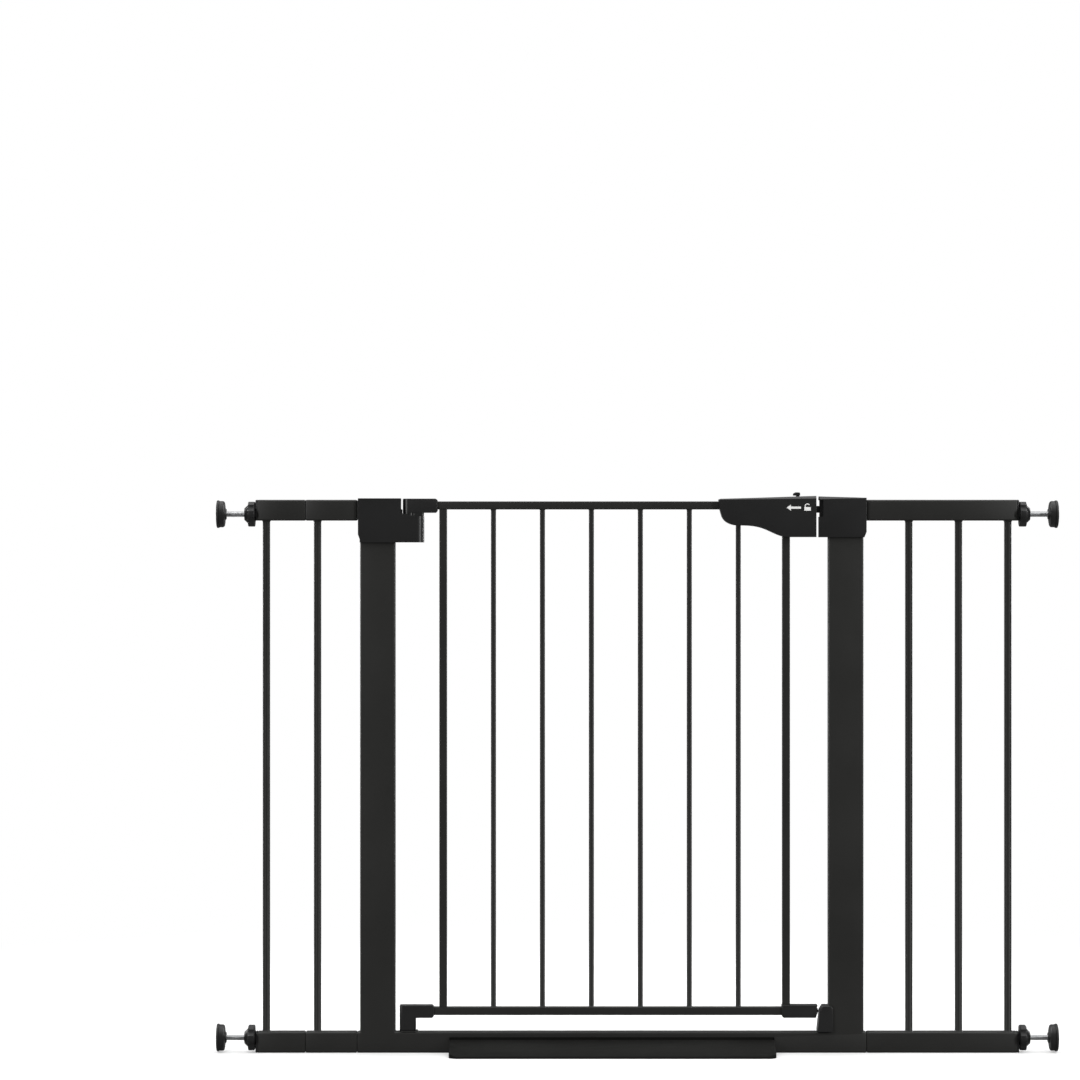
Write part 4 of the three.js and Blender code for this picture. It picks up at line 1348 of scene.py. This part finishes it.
    def bolt(self) -> None:
        """The sliding bolt, with the tall head that stands in the strike's keeper."""
        low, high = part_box("latch_bolt")
        bottom, top = self.bolt_bar
        bolt = Bench.block("latch_bolt", (low.x, low.y, bottom), (high.x, high.y, top))
        head_low = (self.neck_x, -self.head_half, low.z)
        head = Bench.block("head", head_low, (high.x, self.head_half, high.z))
        Bench.bevel(bolt, 0.0005, 2)
        Bench.bevel(head, 0.0006, 2)
        Bench.weld(bolt, head)
        centre, start = (0.0, (bottom + top) / 2), low.x - Bench.PAST
        Bench.cut(bolt, Bench.rod("bore", Axis.X, centre, self.spring_bore, start, self.spring_seat))
        dress(bolt, Finish.GLOSS_PLASTIC, "latch", ["latch_bolt"])

    def button(self) -> None:
        """The thumb slide, with grip grooves across it, on its stem."""
        low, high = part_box("slide_button")
        under = self.button_under
        outline = [
            (low.x, under),
            (high.x, under),
            (high.x, high.z - 0.001),
            (high.x - 0.0016, high.z),
            (low.x + 0.003, high.z),
            (low.x, high.z - 0.002),
        ]
        pad = Bench.drawn("slide_button", Axis.Y, outline, low.y, high.y)
        Bench.bevel(pad, 0.0007, 3)
        for i in range(self.grips):
            x = low.x + (2 + i) * self.grip_pitch
            Bench.cut(pad, Bench.rod("groove", Axis.Y, (x, high.z + 0.0002), 0.0006, low.y, high.y))
        stem_low = (self.stem_x, -self.stem_half, low.z)
        stem = Bench.block("stem", stem_low, (high.x - 0.0006, self.stem_half, under + 0.001))
        Bench.bevel(stem, 0.0012, 3, runs_along(Axis.Z))
        Bench.weld(pad, stem)
        dress(pad, Finish.GLOSS_PLASTIC, "latch", ["slide_button"])

    def foot(self) -> None:
        """The block at the door's lower corner, pointed towards the stop."""
        low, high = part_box("door_foot_cap")
        outline = [
            (low.x, low.z + 0.0024),
            (low.x + 0.0024, low.z),
            (0.2486, low.z),
            (0.2509, 0.055),
            (high.x, 0.058),
            (0.2504, 0.0635),
            (0.2513, high.z),
            (low.x, high.z),
        ]
        foot = Bench.drawn("door_foot_cap", Axis.Y, outline, low.y, high.y)
        Bench.bevel(foot, 0.0008, 3)
        dress(foot, Finish.PLASTIC, "door", ["door_foot_cap"])

    def stop(self) -> None:
        """The wedge on the threshold tube, wrapped round the post's foot."""
        low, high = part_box("bottom_stop")
        outline = [
            (low.x, low.z - 0.0002),
            (high.x, low.z - 0.0002),
            (high.x, 0.062),
            (0.269, high.z),
            (0.258, high.z),
            (0.2535, 0.0586),
            (0.2535, 0.0555),
        ]
        stop = Bench.drawn("bottom_stop", Axis.Y, outline, low.y, high.y)
        Bench.bevel(stop, 0.0009, 3)
        dress(stop, Finish.PLASTIC, "frame", ["bottom_stop"])

    def build(self) -> None:
        """Builds and dresses the latch side."""
        self.strike()
        self.handle()
        self.bolt()
        self.button()
        self.foot()
        self.stop()


@dataclass
class Ramp:
    """The low ramp on each side of the threshold tube."""

    corner: float = 0.012
    crest: float = 0.0182
    ledge: float = 0.004
    lip: float = 0.0032
    skin: float = 0.0022
    web: float = 0.001  # the upright web along the tube's face, shadowed by its bead
    bead: float = 0.0013
    overhang: float = 0.003
    edge: float = 0.0006
    ribs: int = 6

    def build(self) -> None:
        """Models the front half and mirrors it to the rear."""
        low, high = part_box("threshold_ramp_front")
        face, front = high.y, low.y
        section = [
            (face, low.z),
            (front, low.z),
            (front, low.z + self.lip),
            (front + 0.0016, low.z + self.lip + 0.0012),
            (face - self.ledge, self.crest),
            (face - self.web, self.crest),
            (face - self.web, high.z - self.bead),
            (face - self.overhang, high.z - self.bead),
            (face - self.overhang, high.z),
            (face, high.z),
        ]
        ramp = Bench.drawn("threshold_ramp_front", Axis.X, section, low.x, high.x)
        past = Vector((0.0, Bench.PAST, Bench.PAST))
        plan = Bench.block("plan", (low.x, front, low.z - Bench.PAST), high + past)
        Bench.bevel(plan, self.corner, 8, all_of(runs_along(Axis.Z), near(Axis.Y, front)))
        Bench.keep(ramp, plan)
        Bench.flatten(ramp)
        Bench.bevel(ramp, self.edge, 2, above(low.z + 0.001))
        pitch = (high.x - low.x - 2 * self.corner) / self.ribs
        hollow = [
            (face - self.skin, -0.001),
            (front + self.skin, -0.001),
            (front + self.skin, low.z + self.lip - 0.001),
            (face - self.ledge, self.crest - self.skin),
            (face - self.skin, self.crest - self.skin),
        ]
        for i in range(self.ribs):
            start = low.x + self.corner + i * pitch + self.skin / 2
            pocket = Bench.drawn("pocket", Axis.X, hollow, start, start + pitch - self.skin)
            Bench.cut(ramp, pocket)
        rear = Bench.copy(ramp, "threshold_ramp_rear", Matrix.Scale(-1, 4, (0, 1, 0)))
        dress(ramp, Finish.RAMP, "frame", ["threshold_ramp_front"])
        dress(rear, Finish.RAMP, "frame", ["threshold_ramp_rear"])


@dataclass
class HiddenWorks:
    """The springs and the upper pin inside the housings."""

    latch_travel: float = 0.008
    squash_play: float = 0.0004
    wire_sides: int = 10
    turn_steps: int = 24

    def spring(self, node: str, body: str, axis: Axis, wire: float, turns: int) -> Piece:
        """A coil of round wire: a disc swept along a helix by a screw, in its node's own space.

        Args:
            node: The spring's CAD node.
            body: The body that it rides on.
            axis: The coil's axis.
            wire: The wire's radius.
            turns: How many turns it has.

        Returns:
            The dressed spring.
        """
        low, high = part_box(node)
        centre = (low + high) / 2
        length = high[axis.value] - low[axis.value]
        across = axis.others[1]
        radius = (high[across] - low[across]) / 2 - wire
        Bench.clear()
        bpy.ops.mesh.primitive_circle_add(
            vertices=self.wire_sides,
            radius=wire,
            fill_type="NGON",
            location=(radius, 0.0, wire),
            rotation=(math.pi / 2, 0.0, 0.0),
        )
        coil = Bench.settle(node)
        Bench.wind(coil, Axis.Z, (length - 2 * wire) / turns, turns, self.turn_steps)
        start = centre - axis.vector * (length / 2)
        turn = Matrix.Rotation(math.pi / 2 if axis is Axis.X else 0.0, 4, "Y")
        coil.data.transform(Matrix.Translation(start) @ turn)
        return dress(coil, Finish.SPRING, body, [node], smooth=60.0)

    def build(self) -> None:
        """Coils the two springs and gives the upper pin its finish."""
        self.spring("closing_spring", "frame", Axis.Z, 0.0009, 5)
        spring = self.spring("latch_spring", "door", Axis.X, 0.00045, 8)
        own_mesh(spring)
        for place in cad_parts["upper_hinge_pin"].material_slots:
            place.material = Finish.ZINC.material
        LOG.info("upper_hinge_pin keeps its CAD shape")


# ---------------------------------------------------------------- studio
@dataclass
class Studio:
    """A pale floor, soft lights and the camera, square on to the gate."""

    eye: Place = (-0.1355, -5.0, 0.714)
    lens: float = 119.5
    floor_size: float = 60.0
    floor_near: float = 0.7  # where the floor starts to melt into the white backdrop
    floor_far: float = 1.7
    floor_veil: float = 0.3  # how much of the white lies over the nearest floor
    floor_white: float = 0.93
    floor_bounce: float = 0.3  # the floor's white as it lights the gate
    sky: float = 0.2
    aim: Place = (0.0, 0.0, 0.5)
    strips: tuple[tuple[str, Place, float, float], ...] = (  # side, place, width and watts
        ("right", (3.5, -2.6, 1.6), 0.3, 98.0),
        ("left", (-3.0, -2.9, 1.6), 0.22, 58.0),
    )
    strip_height: float = 2.4

    def floor(self) -> None:
        """The pale floor that the gate stands on, melting into the white around it."""
        Bench.clear()
        bpy.ops.mesh.primitive_plane_add(size=self.floor_size, location=(0.0, 0.0, 0.0))
        floor = bpy.context.object
        floor.name = "floor"
        shader = Shader("pale_floor")
        seen = shader.node("ShaderNodeLightPath", output="Is Camera Ray")
        shade = shader.blend(seen, [self.floor_bounce] * 3, [self.floor_white] * 3)
        shader.set(Base_Color=shade, Roughness=0.9, Specular_IOR_Level=0.1)
        spot = shader.node("ShaderNodeTexCoord", output="Object")
        distance = shader.node(
            "ShaderNodeVectorMath", {"operation": "LENGTH"}, {"Vector": spot}, "Value"
        )
        melt = shader.node(
            "ShaderNodeMapRange",
            {"interpolation_type": "SMOOTHSTEP"},
            {
                "Value": distance,
                "From Min": self.floor_near,
                "From Max": self.floor_far,
                "To Min": self.floor_veil,
            },
        )
        white = shader.node(
            "ShaderNodeEmission", inputs={"Strength": self.sky + seen * (1.0 - self.sky)}
        )
        mixed = shader.node(
            "ShaderNodeMixShader", inputs={0: melt, 1: shader.surface_wire, 2: white}
        )
        shader.finish_with(mixed)
        floor.data.materials.append(shader.material)

    def world(self) -> None:
        """White to the eye, and dimmer as a light, so that black stays black."""
        world = bpy.data.worlds.new("studio")
        world.use_nodes = True
        tree = world.node_tree
        tree.nodes.clear()
        output = tree.nodes.new("ShaderNodeOutputWorld")
        seen = tree.nodes.new("ShaderNodeBackground")
        seen.inputs["Color"].default_value = (1, 1, 1, 1)
        lit = tree.nodes.new("ShaderNodeBackground")
        lit.inputs["Color"].default_value = (1, 1, 1, 1)
        lit.inputs["Strength"].default_value = self.sky
        path = tree.nodes.new("ShaderNodeLightPath")
        mix = tree.nodes.new("ShaderNodeMixShader")
        tree.links.new(path.outputs["Is Camera Ray"], mix.inputs["Fac"])
        tree.links.new(lit.outputs[0], mix.inputs[1])
        tree.links.new(seen.outputs[0], mix.inputs[2])
        tree.links.new(mix.outputs[0], output.inputs[0])
        bpy.context.scene.world = world

    @staticmethod
    def lamp(name: str, spot: Sequence[float], aim: Sequence[float], size: Point, watts: float) -> None:
        """A soft rectangular lamp, aimed at a point."""
        data = bpy.data.lights.new(name, "AREA")
        data.shape = "RECTANGLE"
        data.size, data.size_y = size
        data.energy = watts
        lamp = bpy.data.objects.new(name, data)
        bpy.context.collection.objects.link(lamp)
        lamp.location = spot
        lamp.rotation_euler = (Vector(aim) - Vector(spot)).to_track_quat("-Z", "Y").to_euler()

    def build(self) -> None:
        """Sets up the floor, the lights and the camera."""
        self.floor()
        self.world()
        self.lamp("overhead", (0.0, 0.0, 3.2), (0.0, 0.0, 0.0), (4.8, 4.8), 172)
        for turn, face in ((0.0, "front"), (math.pi, "rear")):
            spin = Matrix.Rotation(turn, 3, "Z")
            for side, spot, width, watts in self.strips:
                name = f"{face}_{side}_strip"
                self.lamp(name, spin @ Vector(spot), self.aim, (width, self.strip_height), watts)
        data = bpy.data.cameras.new("camera")
        data.sensor_width = 36.0
        data.lens = self.lens
        camera = bpy.data.objects.new("camera", data)
        bpy.context.collection.objects.link(camera)
        camera.location = self.eye
        camera.rotation_euler = (math.pi / 2, 0.0, 0.0)
        bpy.context.scene.camera = camera
        bpy.context.scene.view_settings.view_transform = "Standard"
        bpy.context.scene.view_settings.look = "None"


def main() -> None:
    """Builds the gate's looks in order and logs each piece as it is dressed."""
    logging.basicConfig(level=logging.INFO, format="%(name)s: %(message)s")
    steel = SteelFrame()
    for section in (
        Studio(),
        steel,
        DoorPanel(steel),
        Spindles(),
        HingeEnd(),
        LatchEnd(),
        Ramp(),
        HiddenWorks(),
    ):
        LOG.info("building %s", type(section).__name__)
        section.build()


if __name__ == "__main__":
    main()
